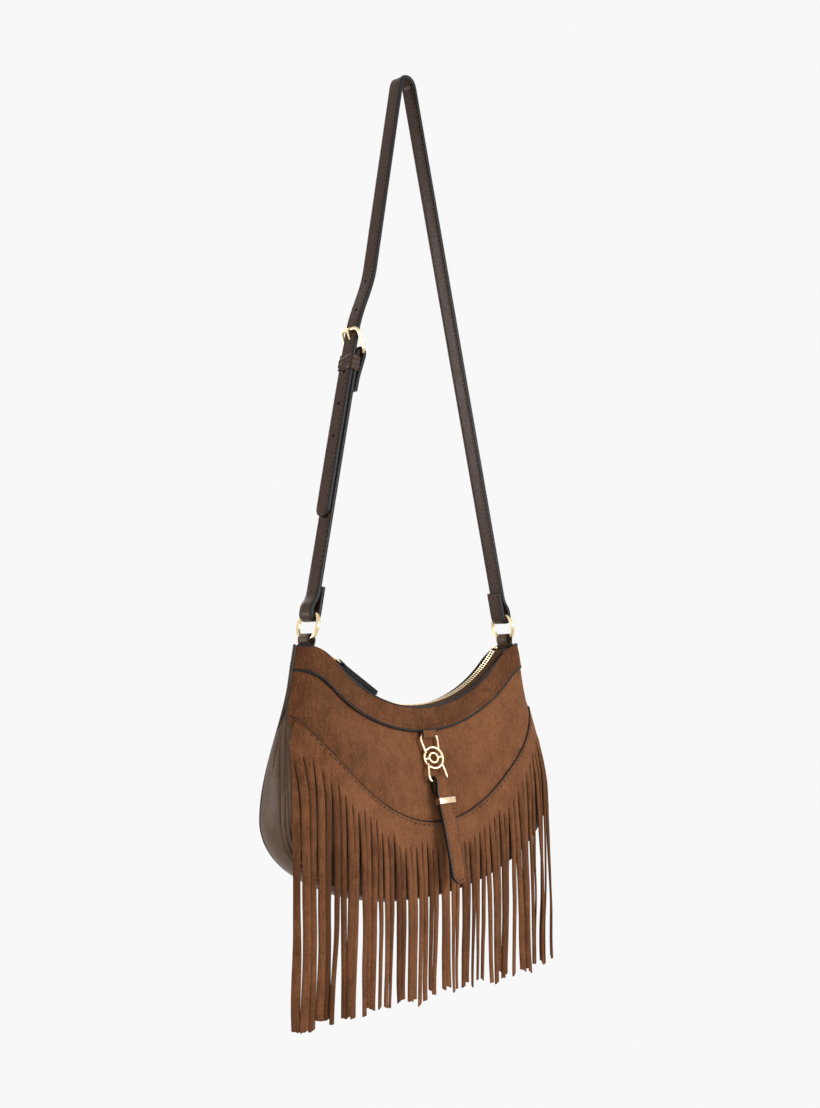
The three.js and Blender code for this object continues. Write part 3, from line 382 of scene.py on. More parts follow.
def tuple_of(value):
    return tuple(value[:3])


def tint(value, factor):
    return tuple(min(c * factor, 1) for c in value)


def suede_finish(name, colours):
    """Napped suede: brushed light and dark, fibres that run down it, a soft bloom at grazing light, and painted
    shade from a point attribute.
    """
    f = Finish(name)
    place = f.place()
    nap = f.cloud(place, 0.0016, 4.0, 0.72)
    fibre = f.cloud(f.stretched(place, (1.0, 1.0, 0.11)), 0.0016, 2.0)
    brushed = f.cloud(place, 0.013, 4.0, 0.6)
    broad = f.cloud(place, 0.06, 2.0)
    share = 0.62 * nap + 0.34 * fibre + 0.42 * brushed + 0.34 * broad - 0.36
    # The point attribute read here darkens the suede with painted shade on the saddle, yoke and fringe, on top
    # of each fringe strand's own random lightness.
    share = share + 0.6 * f.add("ShaderNodeAttribute", {"attribute_name": "tone"}).output("Fac")
    shade = f.ramp(share, [(0.20, 0.0), (0.50, 0.5), (0.80, 1.0)])
    colour_mix = f.mix(tuple_of(colours.suede_deep), tuple_of(colours.suede), shade)
    bump = f.bump(nap * 0.7 + fibre * 0.5, 0.0007, 0.8)
    return f.done(
        Base_Color=colour_mix, Roughness=0.95, Specular_IOR_Level=0.08, Normal=bump,
        Sheen_Weight=0.10, Sheen_Roughness=0.5, Sheen_Tint=(0.95, 0.68, 0.48, 1))


def leather_finish(name, base, rough_low, rough_high, grain, crease, coat, specular):
    """Coated leather: fine pebbled grain, faint creases and a patchy gloss."""
    f = Finish(name)
    place = f.place()
    pebble = f.add("ShaderNodeTexVoronoi", {"feature": "F1"}, {"Vector": place, "Scale": 1 / grain})
    fine = f.cloud(place, grain * 0.7, 2.0)
    patch = f.cloud(f.stretched(place, (1.0, 1.0, 0.35)), 0.009, 3.0, 0.6)
    lines = f.cloud(f.stretched(place, (0.6, 1.0, 1.6)), crease, 4.0, 0.62)
    crackle = f.ramp(lines, [(0.44, 0.0), (0.50, 1.0), (0.56, 0.0)])
    shade = 0.55 * patch + 0.25 * fine + 0.12 * pebble - 0.05
    colour_mix = f.mix(tint(base, 0.66), tint(base, 1.36), f.ramp(shade, [(0.2, 0.0), (0.75, 1.0)]))
    # Darker along the crease lines.
    creased = f.mix(colour_mix, tint(base, 0.5), crackle * 0.35)
    gloss = rough_low + (rough_high - rough_low) * patch + 0.05 * fine
    bump = f.bump(0.5 * pebble + 0.35 * fine - 0.5 * crackle, 0.00022, 0.55)
    return f.done(
        Base_Color=creased, Roughness=gloss, Specular_IOR_Level=specular, Normal=bump,
        Coat_Weight=coat, Coat_Roughness=0.22)


def paint_finish(name, base):
    """Rubbery paint on a cut edge, a little uneven; very dark, it also serves as painted shade in needle holes
    and under the fringe's seam.
    """
    f = Finish(name)
    place = f.place()
    lumps = f.cloud(place, 0.0022, 2.0)
    return f.done(
        Base_Color=f.mix(tint(base, 0.7), tint(base, 1.5), lumps), Roughness=0.34 + 0.16 * lumps,
        Specular_IOR_Level=0.22, Normal=f.bump(lumps, 0.00025, 0.5))


def metal_finish(name, base):
    """Polished plate with the faintest haze and hairlines."""
    f = Finish(name)
    place = f.place()
    haze = f.cloud(place, 0.006, 3.0)
    hair = f.cloud(f.stretched(place, (1.0, 1.0, 0.2)), 0.0006, 2.0)
    return f.done(
        Base_Color=f.mix(tint(base, 0.90), tint(base, 1.06), haze), Metallic=1.0,
        Roughness=0.13 + 0.09 * haze + 0.05 * hair, Normal=f.bump(hair, 0.00003, 0.4))


def woven_finish(name, base, pitch):
    """Plain woven tape or cloth."""
    f = Finish(name)
    place = f.place()
    warp = f.add("ShaderNodeTexWave", {"bands_direction": "X"}, {"Vector": place, "Scale": 0.32 / pitch})
    weft = f.add("ShaderNodeTexWave", {"bands_direction": "Z"}, {"Vector": place, "Scale": 0.32 / pitch})
    slub = f.cloud(place, 0.004, 3.0)
    weave = warp.output("Fac") * 0.5 + weft.output("Fac") * 0.5
    share = 0.55 * weave + 0.45 * slub
    return f.done(
        Base_Color=f.mix(tint(base, 0.5), tint(base, 1.4), share), Roughness=0.88, Specular_IOR_Level=0.2,
        Normal=f.bump(weave, 0.00025, 0.8))


def thread_finish(name, base):
    """Twisted thread."""
    f = Finish(name)
    place = f.place()
    ply = f.cloud(place, 0.0006, 2.0)
    return f.done(
        Base_Color=f.mix(tint(base, 0.65), tint(base, 1.25), ply), Roughness=0.7, Specular_IOR_Level=0.3,
        Normal=f.bump(ply, 0.0002, 0.8))


FINISHES = {}


def finish(name):
    """A finish by its name, made the first time that it is asked for."""
    if name in FINISHES:
        return FINISHES[name]
    c = bpy.context.scene.bag_colours
    made = {
        "suede": lambda: suede_finish("suede", c),
        "body": lambda: leather_finish(
            "body_leather", tuple_of(c.body), 0.34, 0.48, grain=0.0016, crease=0.03, coat=0.03, specular=0.2),
        "strap": lambda: leather_finish(
            "strap_leather", tuple_of(c.strap), 0.16, 0.42,
            grain=0.0013, crease=0.014, coat=0.06, specular=0.18),
        "paint": lambda: paint_finish("edge_paint", tuple_of(c.paint)),
        # Painted shade: a near-black suede colour for the dark inside needle holes and under the fringe's seam.
        "dark_painted_shade": lambda: paint_finish("dark_painted_shade", tint(c.suede_deep, 0.22)),
        "piping": lambda: leather_finish(
            "piping", tint(c.body, 0.34), 0.42, 0.6, grain=0.0012, crease=0.02, coat=0.0, specular=0.35),
        "gold": lambda: metal_finish("gold_plate", tuple_of(c.gold)),
        "tape": lambda: woven_finish("zip_tape", tuple_of(c.tape), 0.0011),
        "lining": lambda: woven_finish("lining_cloth", tuple_of(c.lining), 0.0008),
        "thread": lambda: thread_finish("suede_thread", tuple_of(c.thread)),
        "dark_thread": lambda: thread_finish("strap_thread", tuple_of(c.dark_thread)),
    }
    FINISHES[name] = made[name]()
    return FINISHES[name]


# Meshes


def grid(columns, rows, place, flip=False):
    """A sheet of cells laid out by place(u, v) in millimetres, with u and v from 0 to 1."""
    bm = bmesh.new()
    bm.loops.layers.uv.new("UVMap")
    bmesh.ops.create_grid(bm, x_segments=columns, y_segments=rows, size=0.5, calc_uvs=True)
    for v in bm.verts:
        v.co = Vector(place(clamp(v.co.x + 0.5), clamp(v.co.y + 0.5))) * MM
    bmesh.ops.remove_doubles(bm, verts=bm.verts, dist=1e-6)
    if flip:
        bmesh.ops.reverse_faces(bm, faces=bm.faces)
    return bm


def tangents(path, closed):
    count = len(path)
    out = []
    for i in range(count):
        before = path[(i - 1) % count] if closed else path[max(i - 1, 0)]
        after = path[(i + 1) % count] if closed else path[min(i + 1, count - 1)]
        out.append((after - before).normalized())
    return out


def swept(path, across, section, closed=False):
    """A closed section carried along a path: section(i) gives (across, out, is an edge) at its point i."""
    count = len(path)
    sides = len(section(0))
    rows = count if closed else count - 1
    ways = tangents(path, closed)
    bm = bmesh.new()
    uv = bm.loops.layers.uv.new("UVMap")
    bmesh.ops.create_grid(bm, x_segments=sides, y_segments=rows, size=0.5, calc_uvs=True)
    for face in bm.faces:
        middle = sum(loop[uv].uv.x for loop in face.loops) / len(face.loops)
        face.material_index = int(section(0)[int(middle * sides) % sides][2])
    for v in bm.verts:
        side = int(round((v.co.x + 0.5) * sides)) % sides
        i = int(round((v.co.y + 0.5) * rows)) % count
        a, b, _ = section(i)[side]
        out = ways[i].cross(across).normalized()
        v.co = (path[i] + across * a + out * b) * MM
    bmesh.ops.remove_doubles(bm, verts=bm.verts, dist=2e-6)
    rim = [e for e in bm.edges if e.is_boundary]
    if rim:
        caps = bmesh.ops.holes_fill(bm, edges=rim)["faces"]
        for face in caps:
            face.material_index = 1
    bmesh.ops.recalc_face_normals(bm, faces=bm.faces)
    return bm


def band_section(width, thickness):
    """A strap's section: flat faces, rounded edges. The edges carry the second finish."""
    w, t = width / 2, thickness / 2
    c = min(t * 0.7, w * 0.5)
    return [
        (side * a, side * b, edge)
        for side in (1, -1)
        for a, b, edge in (
            (-w + c, t, False), (-w / 3, t * 1.02, False), (w / 3, t * 1.02, False), (w - c, t, True),
            (w - c * 0.3, t - c * 0.3, True), (w, t - c, True), (w, -t + c, True),
            (w - c * 0.3, -t + c * 0.3, True),
        )
    ]


def band(path, across, width, thickness, width_at=None, closed=False):
    """A strap of even thickness along a path."""
    if width_at is None:
        section = band_section(width, thickness)
        return swept(path, across, lambda i: section, closed)
    sections = [band_section(width_at(i), thickness) for i in range(len(path))]
    return swept(path, across, lambda i: sections[i], closed)


def wire(path, normal, radius, sides=14, closed=False):
    """A round wire along a path in the plane with that normal."""
    section = [
        (radius * math.cos(2 * math.pi * s / sides), radius * math.sin(2 * math.pi * s / sides), False)
        for s in range(sides)
    ]
    bm = swept(path, normal, lambda i: section, closed)
    for face in bm.faces:
        face.material_index = 0
    return bm


def ring(centre, axis, radius, wire_radius, steps=72, sides=18):
    """A round ring, spun from its wire."""
    bm = bmesh.new()
    side = axis.orthogonal().normalized()
    turn_to = Matrix((side, axis, side.cross(axis))).transposed().to_4x4()
    move = Matrix.Translation((centre + side * radius) * MM) @ turn_to
    loop = bmesh.ops.create_circle(bm, segments=sides, radius=wire_radius * MM, matrix=move)["verts"]
    geom = loop + list({e for v in loop for e in v.link_edges})
    bmesh.ops.spin(bm, geom=geom, cent=centre * MM, axis=axis, angle=2 * math.pi, steps=steps, use_merge=True)
    bmesh.ops.remove_doubles(bm, verts=bm.verts, dist=1e-6)
    bmesh.ops.recalc_face_normals(bm, faces=bm.faces)
    return bm


def block(size, bevel, move, segments=2):
    """A box with rounded edges, in millimetres, then moved."""
    bm = bmesh.new()
    bmesh.ops.create_cube(bm, size=1, matrix=Matrix.Diagonal((*size, 1)))
    bmesh.ops.bevel(
        bm, geom=list(bm.edges), offset=bevel, offset_type="OFFSET", affect="EDGES", segments=segments,
        profile=0.5, material=-1)
    bmesh.ops.transform(bm, matrix=Matrix.Scale(MM, 4) @ move, verts=bm.verts)
    return bm


def together(first, *others):
    """Several meshes as one."""
    for other in others:
        carrier = bpy.data.meshes.new("carrier")
        other.to_mesh(carrier)
        other.free()
        first.from_mesh(carrier)
        bpy.data.meshes.remove(carrier)
    return first


def stitches(rows, pitch, stitch_length, thickness, offset=0.5):
    """Stitches along rows of (point, outward) pairs, each a short thread sunk into the surface."""
    bm = bmesh.new()
    for row in rows:
        points = [p for p, _ in row]
        lengths = [0.0]
        for a, b in zip(points, points[1:]):
            lengths.append(lengths[-1] + (b - a).length)
        count = int(lengths[-1] / pitch)
        i = 0
        for n in range(count):
            goal = (n + offset) * lengths[-1] / max(count, 1)
            while i < len(points) - 2 and lengths[i + 1] < goal:
                i += 1
            share = clamp((goal - lengths[i]) / max(lengths[i + 1] - lengths[i], 1e-9))
            along = (points[i + 1] - points[i]).normalized()
            out = row[i][1].lerp(row[i + 1][1], share).normalized()
            side = out.cross(along).normalized()
            out = along.cross(side)
            lean = Matrix.Rotation(STITCH_LEAN, 3, out)
            axes = (lean @ along * stitch_length / 2, lean @ side * thickness / 2, out * thickness / 2)
            turn_to = Matrix(axes).transposed()
            move = Matrix.Translation(points[i].lerp(points[i + 1], share) * MM) @ (turn_to * MM).to_4x4()
            bmesh.ops.create_icosphere(bm, subdivisions=1, radius=1, matrix=move)
    return bm


def piece(bm, name, body, finishes, replaces=(), wall=0.0, rim=0, flat_angle=40, even=True):
    """Makes the object, gives it its finishes and puts it on its body."""
    mesh = bpy.data.meshes.new(name)
    bm.to_mesh(mesh)
    bm.free()
    for each in finishes:
        mesh.materials.append(finish(each))
    mesh.shade_smooth()
    if flat_angle:
        mesh.set_sharp_from_angle(angle=math.radians(flat_angle))
    obj = bpy.data.objects.new(name, mesh)
    bpy.context.scene.collection.objects.link(obj)
    if wall:
        solid = obj.modifiers.new("Wall", "SOLIDIFY")
        solid.thickness = wall * MM
        solid.offset = -1
        solid.use_even_offset = even
        solid.material_offset_rim = rim
    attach(obj, body)
    if replaces:
        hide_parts(*replaces)
    return obj


def with_painted_shade(bm, shade_at):
    """Gives each point of a suede piece its share of painted shade, from its place in millimetres."""
    layer = bm.verts.layers.float.new("tone")
    for v in bm.verts:
        v[layer] = shade_at(v.co / MM)
    return bm


def area_of(bm):
    return sum(f.calc_area() for f in bm.faces)


def sizes():
    return bpy.context.scene.bag_sizes


def sewn(rows, name, body, thread, scale=1.0):
    """A piece of stitching with the bag's own stitch: threads, and small dark dots of painted shade for the
    needle holes between them.
    """
    s = sizes()
    pitch, thread_size = s.stitch_pitch / MM * scale, s.thread / MM * scale
    threads = stitches(rows, pitch, s.stitch_length / MM * scale, thread_size)
    piece(threads, name, body, [thread], flat_angle=0)
    # Painted shade: dark dots between the threads stand for the shadow in the needle holes.
    holes = stitches(rows, pitch, thread_size * 1.5, thread_size * 0.9, 0.0)
    piece(holes, f"{name}_holes", body, ["dark_painted_shade"], flat_angle=0)


# Body


def panel_point(u, v):
    """Place on a body panel: across it from -1 to 1, and down it from the neckline to the bottom seam."""
    across = math.sin((2 * u - 1) * math.pi / 2)
    if v < 0.6:
        depth = lerp(neck_depth(across * CORNER_SPAN / 2), WIDEST_DEPTH, v / 0.6)
        return across * outline_half(depth), depth
    x = across * BODY_WIDTH / 2
    return x, lerp(WIDEST_DEPTH, bottom_depth(x), math.sin((v - 0.6) / 0.4 * math.pi / 2))


def rim_path():
    left = [Vector((-p.x, p.y)) for p in OUTLINE]
    return [Vector((p.x, p.y, 0)) for p in left + OUTLINE[-2::-1]]


def rim_frames(count):
    """Points along the side and bottom seams with their outward directions, from left corner to right."""
    path = resampled(rim_path(), 1.0)
    path = [path[int(round(i * (len(path) - 1) / count))] for i in range(count + 1)]
    ways = tangents(path, False)
    return [(p, Vector((-t.y, t.x, 0))) for p, t in zip(path, ways)]


def seam_edge(p):
    return belly(p.x, p.y)


def gusset_swell(depth, t, p):
    """How far the gusset stands out past its seams at a depth, from its front seam (0) to its back seam (1)."""
    pleat = sizes().pleat / MM
    low = smooth((depth - 46) / 42)
    shown = smooth((depth - 50) / 22) * (1 - smooth((depth - 165) / 35))
    swell = 3.6 * math.sin(math.pi * t) ** 0.8 * low
    swell -= pleat * hump(t - 0.19 - 0.02 * math.sin(depth / 33), 0.028) * shown
    swell += 1.1 * hump(t - 0.13, 0.035) * shown
    swell -= 0.4 * pleat * hump(t - 0.085, 0.018) * shown
    short = smooth((depth - 48) / 12) * (1 - smooth((depth - 72) / 34))
    swell -= 0.45 * pleat * hump(t - 0.36 - (depth - 60) / 300, 0.03) * short
    swell -= 4.6 * hump(depth - 46 - 16 * (t - 0.5), 8)
    swell -= 2.2 * hump(depth - 38 - 26 * t, 1.9) + 1.8 * hump(depth - 50 - 20 * t, 2.1)
    swell += 0.9 * hump(depth - 44 - 23 * t, 2.2) + 0.8 * hump(depth - 57 - 16 * t, 3.0)
    swell -= 3.0 * math.sin(math.pi * t) * (1 - smooth((depth - 28) / 16))
    swell += 0.35 * rough((p.x, t * 40, depth), 23, 3.1) + 0.12 * rough((p.x, t * 40, depth), 8, 1.7)
    return swell * min(1, t * 9 + 0.1, (1 - t) * 9 + 0.1)


class BAG_OT_body(bpy.types.Operator):
    """Front base, back, gusset, seam piping and lining"""

    bl_idname = "bag.body"
    bl_label = "Body"

    def execute(self, context):
        def front(u, v):
            x, depth = panel_point(u, v)
            return on_front(x, depth, 0)

        def back(u, v):
            x, depth = panel_point(u, v)
            place = on_front(x, depth, 0)
            buckled = 0.8 * rough(place, 46, 5.0) + 0.3 * rough(place, 15, 2.0)
            fade = smooth(seam_distance(x, depth) / 22)
            return Vector((x, -place.y + buckled * fade, place.z))

        bm = grid(64, 56, front, flip=True)
        panel = piece(
            bm, "front_base", "bag", ["body", "paint"], ["front_panel"], wall=1.0, rim=1)
        bm = grid(64, 56, back)
        panel = piece(
            bm, "back_leather", "bag", ["body", "paint"], ["back_panel"], wall=2.6, rim=1)

        frames = rim_frames(300)

        def side(u, t):
            p, out = frames[int(round(u * 300))]
            edge = seam_edge(p)
            y = lerp(-edge + 0.9, edge - 0.9, t)
            p = p + out * gusset_swell(p.y, t, p)
            return Vector((p.x, y, CORNER_Z - p.y))

        bm = grid(300, 44, side)
        strip = piece(
            bm, "gusset_leather", "bag", ["body", "paint"], ["gusset"], wall=1.0, rim=1,
            even=False)

        for name, sign, radius in (("front_piping", -1, 0.8), ("back_piping", 1, 1.5)):
            path = []
            for p, out in frames[::2]:
                q = p + out * (0.15 if sign < 0 else 0.35)
                path.append(Vector((q.x, sign * (seam_edge(p) - radius), CORNER_Z - q.y)))
            piece(wire(path, Y, radius, 10), name, "bag", ["piping"])

        seam_row, mouth = [], []
        for p, out in frames[6:-6:3]:
            q = p - out * 4.2
            seam_row.append((Vector((q.x, belly(q.x, q.y) + 0.25, CORNER_Z - q.y)), Y))
        for i in range(-58, 59):
            x = i * 2.0
            depth = neck_depth(x) + 4
            mouth.append((Vector((x, belly(x, depth) + 0.2, CORNER_Z - depth)), Y))
        sewn([seam_row, mouth], "back_stitches", "bag", "dark_thread")

        def pocket(u, v):
            half = 112
            x = half * math.sin((2 * u - 1) * math.pi / 2)
            wall = abs(2 * v - 1)
            sign = -1 if v < 0.5 else 1
            top = neck_depth(x) + 9
            depth = lerp(bottom_depth(x) - 6.5, top, wall)
            room = belly(x, depth) - 4.6 - 8 * (1 - smooth(wall * 6))
            pinch = math.sqrt(max(1 - (abs(x) / half) ** 6, 0))
            y = 1.3 + (room - 1.3) * pinch + 0.3 * rough((x, sign * 40, depth), 17)
            return Vector((x, sign * y, CORNER_Z - depth))

        bm = grid(48, 48, pocket)
        lining = piece(bm, "lining_pocket", "bag", ["lining"], ["lining"], wall=0.7)
        return {"FINISHED"}


# Suede front


def overlay_grid(columns, rows, top, bottom, side_depth, out):
    """A suede panel on the front between two curves, running out to the side seams."""
    half = outline_half(side_depth)

    def place(u, v):
        across = math.sin((2 * u - 1) * math.pi / 2)
        depth = lerp(top(across * half), bottom(across * half), v)
        turned = smooth((1 - abs(across)) * 9)
        return on_front(across * (outline_half(depth) - 0.4), depth, lerp(1.1, out(across, depth, v), turned))

    return grid(columns, rows, place, flip=True)


def front_row(depth_at, span, out, step=2.0):
    """A row along a curve on the front, for stitches and edges, turned in where it meets the side seams."""
    count = int(2 * span / step)
    row = []
    for i in range(count + 1):
        x = lerp(-span, span, i / count)
        depth = depth_at(x)
        rise = lerp(min(out, 0.7), out, smooth((1 - abs(x) / (outline_half(depth) - 0.4)) * 9))
        here, above = on_front(x, depth, rise), on_front(x, depth - 2, rise)
        aside = on_front(x + 1, depth, rise)
        row.append((here, (above - here).cross(aside - here).normalized()))
    return row


class BAG_OT_suede_front(bpy.types.Operator):
    """Saddle panel, yoke with its painted edges, and their stitching"""

    bl_idname = "bag.suede_front"
    bl_label = "Suede front"

    def execute(self, context):
        s = sizes()
        suede = s.suede / MM

        def saddle_out(across, depth, v):
            at = (across * 120, 0, depth)
            waves = 0.5 * rough(at, 34, 1.0) * smooth((1 - abs(across)) * 8) + 0.12 * rough(at, 9, 4.0)
            return LAYER_GAP + suede + waves

        def saddle_painted_shade(p):
            """Painted shade: darker toward the upper left, where the panel faces away from the light."""
            left, high = 1 - smooth((p.x + 125) / 110), 1 - smooth((CORNER_Z - 125 - p.z) / 40)
            return -0.30 * left * high - 0.02

        bm = overlay_grid(
            72, 40, lambda x: yoke_depth(x) - 8, lambda x: seam_depth(x) + 8, SEAM_SIDE_DEPTH, saddle_out)
        with_painted_shade(bm, saddle_painted_shade)
        saddle = piece(
            bm, "saddle_suede", "bag", ["suede", "paint"], ["saddle_panel"], wall=suede, rim=1)

        def yoke_out(across, depth, v):
            at = (across * 120, 3, depth)
            waves = 0.25 * rough(at, 22, 7.0) * math.sin(math.pi * v)
            return LAYER_GAP + YOKE_T * smooth(v / 0.5) + 1.8 + waves

        bm = overlay_grid(80, 14, neck_depth, yoke_depth, YOKE_SIDE_DEPTH, yoke_out)
        # Painted shade: the whole yoke is darkened, as it faces up, away from the light that comes from the
        # front.
        with_painted_shade(bm, lambda p: -0.36)
        yoke = piece(bm, "yoke_suede", "bag", ["suede", "paint"], ["front_yoke"], wall=YOKE_T, rim=1)

        bead = s.edge_bead / MM / 2
        side = outline_half(YOKE_SIDE_DEPTH) - 0.5
        face = LAYER_GAP + YOKE_T
        path = [p for p, _ in front_row(lambda x: yoke_depth(x) + bead * 0.6, side, face + 2.0 - bead * 0.9)]
        edge = wire(path, Y, bead, 12)
        neck = CORNER_SPAN / 2 - 0.8
        lip = [p for p, _ in front_row(lambda x: neck_depth(x) - 0.1, neck, 1.4)]
        back_row = front_row(lambda x: neck_depth(x) - 0.1, neck, 0)
        back_lip = [Vector((p.x, -p.y - 1.0, p.z)) for p, _ in back_row]
        edges = together(edge, wire(lip, Y, 1.05, 10), wire(back_lip, Y, 1.35, 10))
        piece(edges, "painted_edges", "bag", ["paint"])

        rows = [
            front_row(lambda x: yoke_depth(x) - 3.2, side - 4, face + 1.85),
            front_row(lambda x: neck_depth(x) + 3.2, neck - 4, LAYER_GAP + 2.1),
        ]
        sewn(rows, "yoke_stitches", "bag", "thread", 0.72)
        return {"FINISHED"}


# Fringe


class BAG_OT_fringe(bpy.types.Operator):
    """The cut fringe with its folded top edge and its seam"""

    bl_idname = "bag.fringe"
    bl_label = "Fringe"

    def execute(self, context):
        s = sizes()
        chance = random.Random(11)
        count = s.strand_count
        span = BODY_WIDTH - 1
        pitch = span / count
        lines = [-span / 2 + pitch * k for k in range(count + 1)]
        gap, sway, ragged = s.strand_gap / MM, s.strand_sway / MM, s.strand_ragged / MM
        suede = s.suede / MM
        base = LAYER_GAP + 1.6 + suede

        def top_at(x):
            return max(seam_depth(x), outline_depth(abs(x) + 0.6))

        def rest_out(x):
            return lerp(1.2, base, smooth((150 - abs(x)) / 14))

        slits = []
        for x in lines:
            t = min(abs(x) / outline_half(SEAM_SIDE_DEPTH), 1)
            slits.append(max(seam_depth(x) + lerp(17, 20, t), top_at(x) + 8) + chance.uniform(-4, 6))

        def fullest(x, top, depth):
            end = min(depth, bottom_depth(x))
            return max(belly(x, lerp(top, end, i / 9)) for i in range(10))

        bunches, k = [], 0
        while k < count:
            size = chance.choice((1, 2, 2, 3, 3, 4, 5))
            bunches.append((k, min(k + size, count), chance.uniform(-1, 1), chance.uniform(0.10, 0.42)))
            k += size
        strands = []
        for first, last, drift, pull in bunches:
            middle = (lines[first] + lines[last]) / 2
            hook = chance.gauss(0, 1.4) - 2.2 * smooth((middle - 10) / 60) * (1 - smooth((middle - 118) / 20))
            for k in range(first, last):
                own = (lines[k] + lines[k + 1]) / 2
                strands.append({
                    "shift": (middle - own) * pull + drift * sway * 0.55 + 0.03 * own,
                    "wave": chance.uniform(-1, 1) * 0.9, "phase": chance.uniform(0, 6.28),
                    "twist": math.radians(chance.choice((4, 8, 14, 22, 34)) * chance.choice((-1, -1, 1))),
                    "hook": hook + chance.gauss(0, 0.7),
                    "layer": 1.1 * (k % 2) + chance.uniform(0, 0.3),
                    "end": FRINGE_DROP + chance.uniform(-1, 1) * ragged, "cut": chance.uniform(-1.6, 1.6),
                    "tone": chance.uniform(-0.24, 0.24), "slim": chance.uniform(0.0, 0.3)})

        lip_rows, band_rows, hang_rows, columns = 3, 5, 32, 4
        rows = lip_rows + band_rows + hang_rows
        bm = bmesh.new()
        bm.loops.layers.uv.new("UVMap")
        tone_and_shade_layer = bm.verts.layers.float.new("tone")
        for k, strand in enumerate(strands):
            made = bmesh.ops.create_grid(
                bm, x_segments=columns, y_segments=rows, size=0.5, calc_uvs=True)["verts"]
            left, right = lines[k], lines[k + 1]
            centre = (left + right) / 2
            tops = [top_at(x) for x in (left, right)]
            for v in made:
                u, row = clamp(v.co.x + 0.5), int(round((v.co.y + 0.5) * rows))
                x = lerp(left, right, u)
                top = lerp(tops[0], tops[1], u)
                slit = lerp(slits[k], slits[k + 1], u)
                if row < lip_rows:
                    depth = top + (0.9, 0.15, 0.35)[row]
                    out = rest_out(x) + (-0.9, -0.55, -0.05)[row]
                    v.co = on_front(x, depth, out) * MM
                elif row <= lip_rows + band_rows:
                    share = (row - lip_rows) / band_rows
                    depth = lerp(top + 0.9, slit, share)
                    pucker = 0.22 * hump(depth - top - 2.3, 1.2)
                    v.co = on_front(x, depth, rest_out(x) - pucker + 0.25 * rough((x, 5, depth), 26, 2.0)) * MM
                else:
                    share = (row - lip_rows - band_rows) / hang_rows
                    depth = lerp(slit, strand["end"], share ** 1.05)
                    hang = max(depth - slit, 0)
                    free = smooth(hang / 34)
                    full = fullest(x, top, depth)
                    half = pitch / 2 - (gap / 2 + strand["slim"]) * smooth(hang / 4)
                    side = (2 * u - 1) * half
                    drop = hang / 150
                    twist = strand["twist"] * smooth(drop)
                    wave, phase = strand["wave"] * free, strand["phase"]
                    shift = strand["shift"] * drop**1.5 + wave * math.sin(drop * 4.2 + phase)
                    shift -= wave * math.sin(phase) * (1 - smooth(drop * 2))
                    shift += strand["hook"] * smooth((drop - 0.45) / 0.7) ** 2
                    cup = 0.95 * (1 - (2 * u - 1) ** 2) * smooth(hang / 6)
                    close = smooth((150 - abs(centre)) / 14)
                    out = rest_out(x) + cup + math.sin(twist) * side
                    out += free * close * (0.5 + strand["layer"])
                    out += 0.5 * free * rough((centre, 0, depth), 28, k * 1.7)
                    swing_in = 2.6 * smooth((depth - 205) / 76)
                    at_x = centre + side * math.cos(twist) + shift * free
                    ragged_end = 0.0
                    if row == rows:
                        ragged_end = strand["cut"] * (2 * u - 1) + chance.uniform(-0.5, 0.5)
                    v.co = Vector((at_x, -full - out + swing_in, CORNER_Z - depth - ragged_end)) * MM
                # Painted shade: below their slits the strands are darkened, standing for the shade between
                # them, and darker still toward the left edge, which faces away from the light; each strand also
                # gets its own random lightness.
                inside = smooth((row - lip_rows - band_rows) / 6)
                v[tone_and_shade_layer] = (strand["tone"] - 0.24) * inside - 0.16 * (1 - smooth((x + 150) / 70))
        bmesh.ops.remove_doubles(bm, verts=bm.verts, dist=1e-6)
        bmesh.ops.reverse_faces(bm, faces=bm.faces)
        area = area_of(bm)
        fringe = piece(
            bm, "fringe_suede", "bag", ["suede", "suede"], ["fringe"], wall=suede, rim=0,
            flat_angle=60, even=False)

        seam_span = outline_half(SEAM_SIDE_DEPTH) - 3
        # Painted shadow: a thin dark wire along the fringe's top edge stands for the shadow under its seam.
        shade = [p for p, _ in front_row(lambda x: top_at(x) - 0.3, seam_span + 2, 2.4)]
        piece(wire(shade, Y, 0.8, 8), "fringe_seam_shadow", "bag", ["dark_painted_shade"])
        seam_row = front_row(lambda x: top_at(x) + 2.4, seam_span, base - 0.1)
        sewn([seam_row], "seam_stitches", "bag", "thread", 1.3)
        return {"FINISHED"}


# Zip


def zip_point(angle, y, above):
    radius = ZIP_RADIUS - above
    return Vector((radius * math.sin(angle), y, ZIP_CENTRE_Z - radius * math.cos(angle)))


def on_zip(angle, turn_more=0.0, above=0.0):
    """Places a piece drawn along X, across Y and up Z on the zip at an angle."""
    return Matrix.Translation(zip_point(angle, 0, above)) @ Matrix.Rotation(-angle - turn_more, 4, "Y")


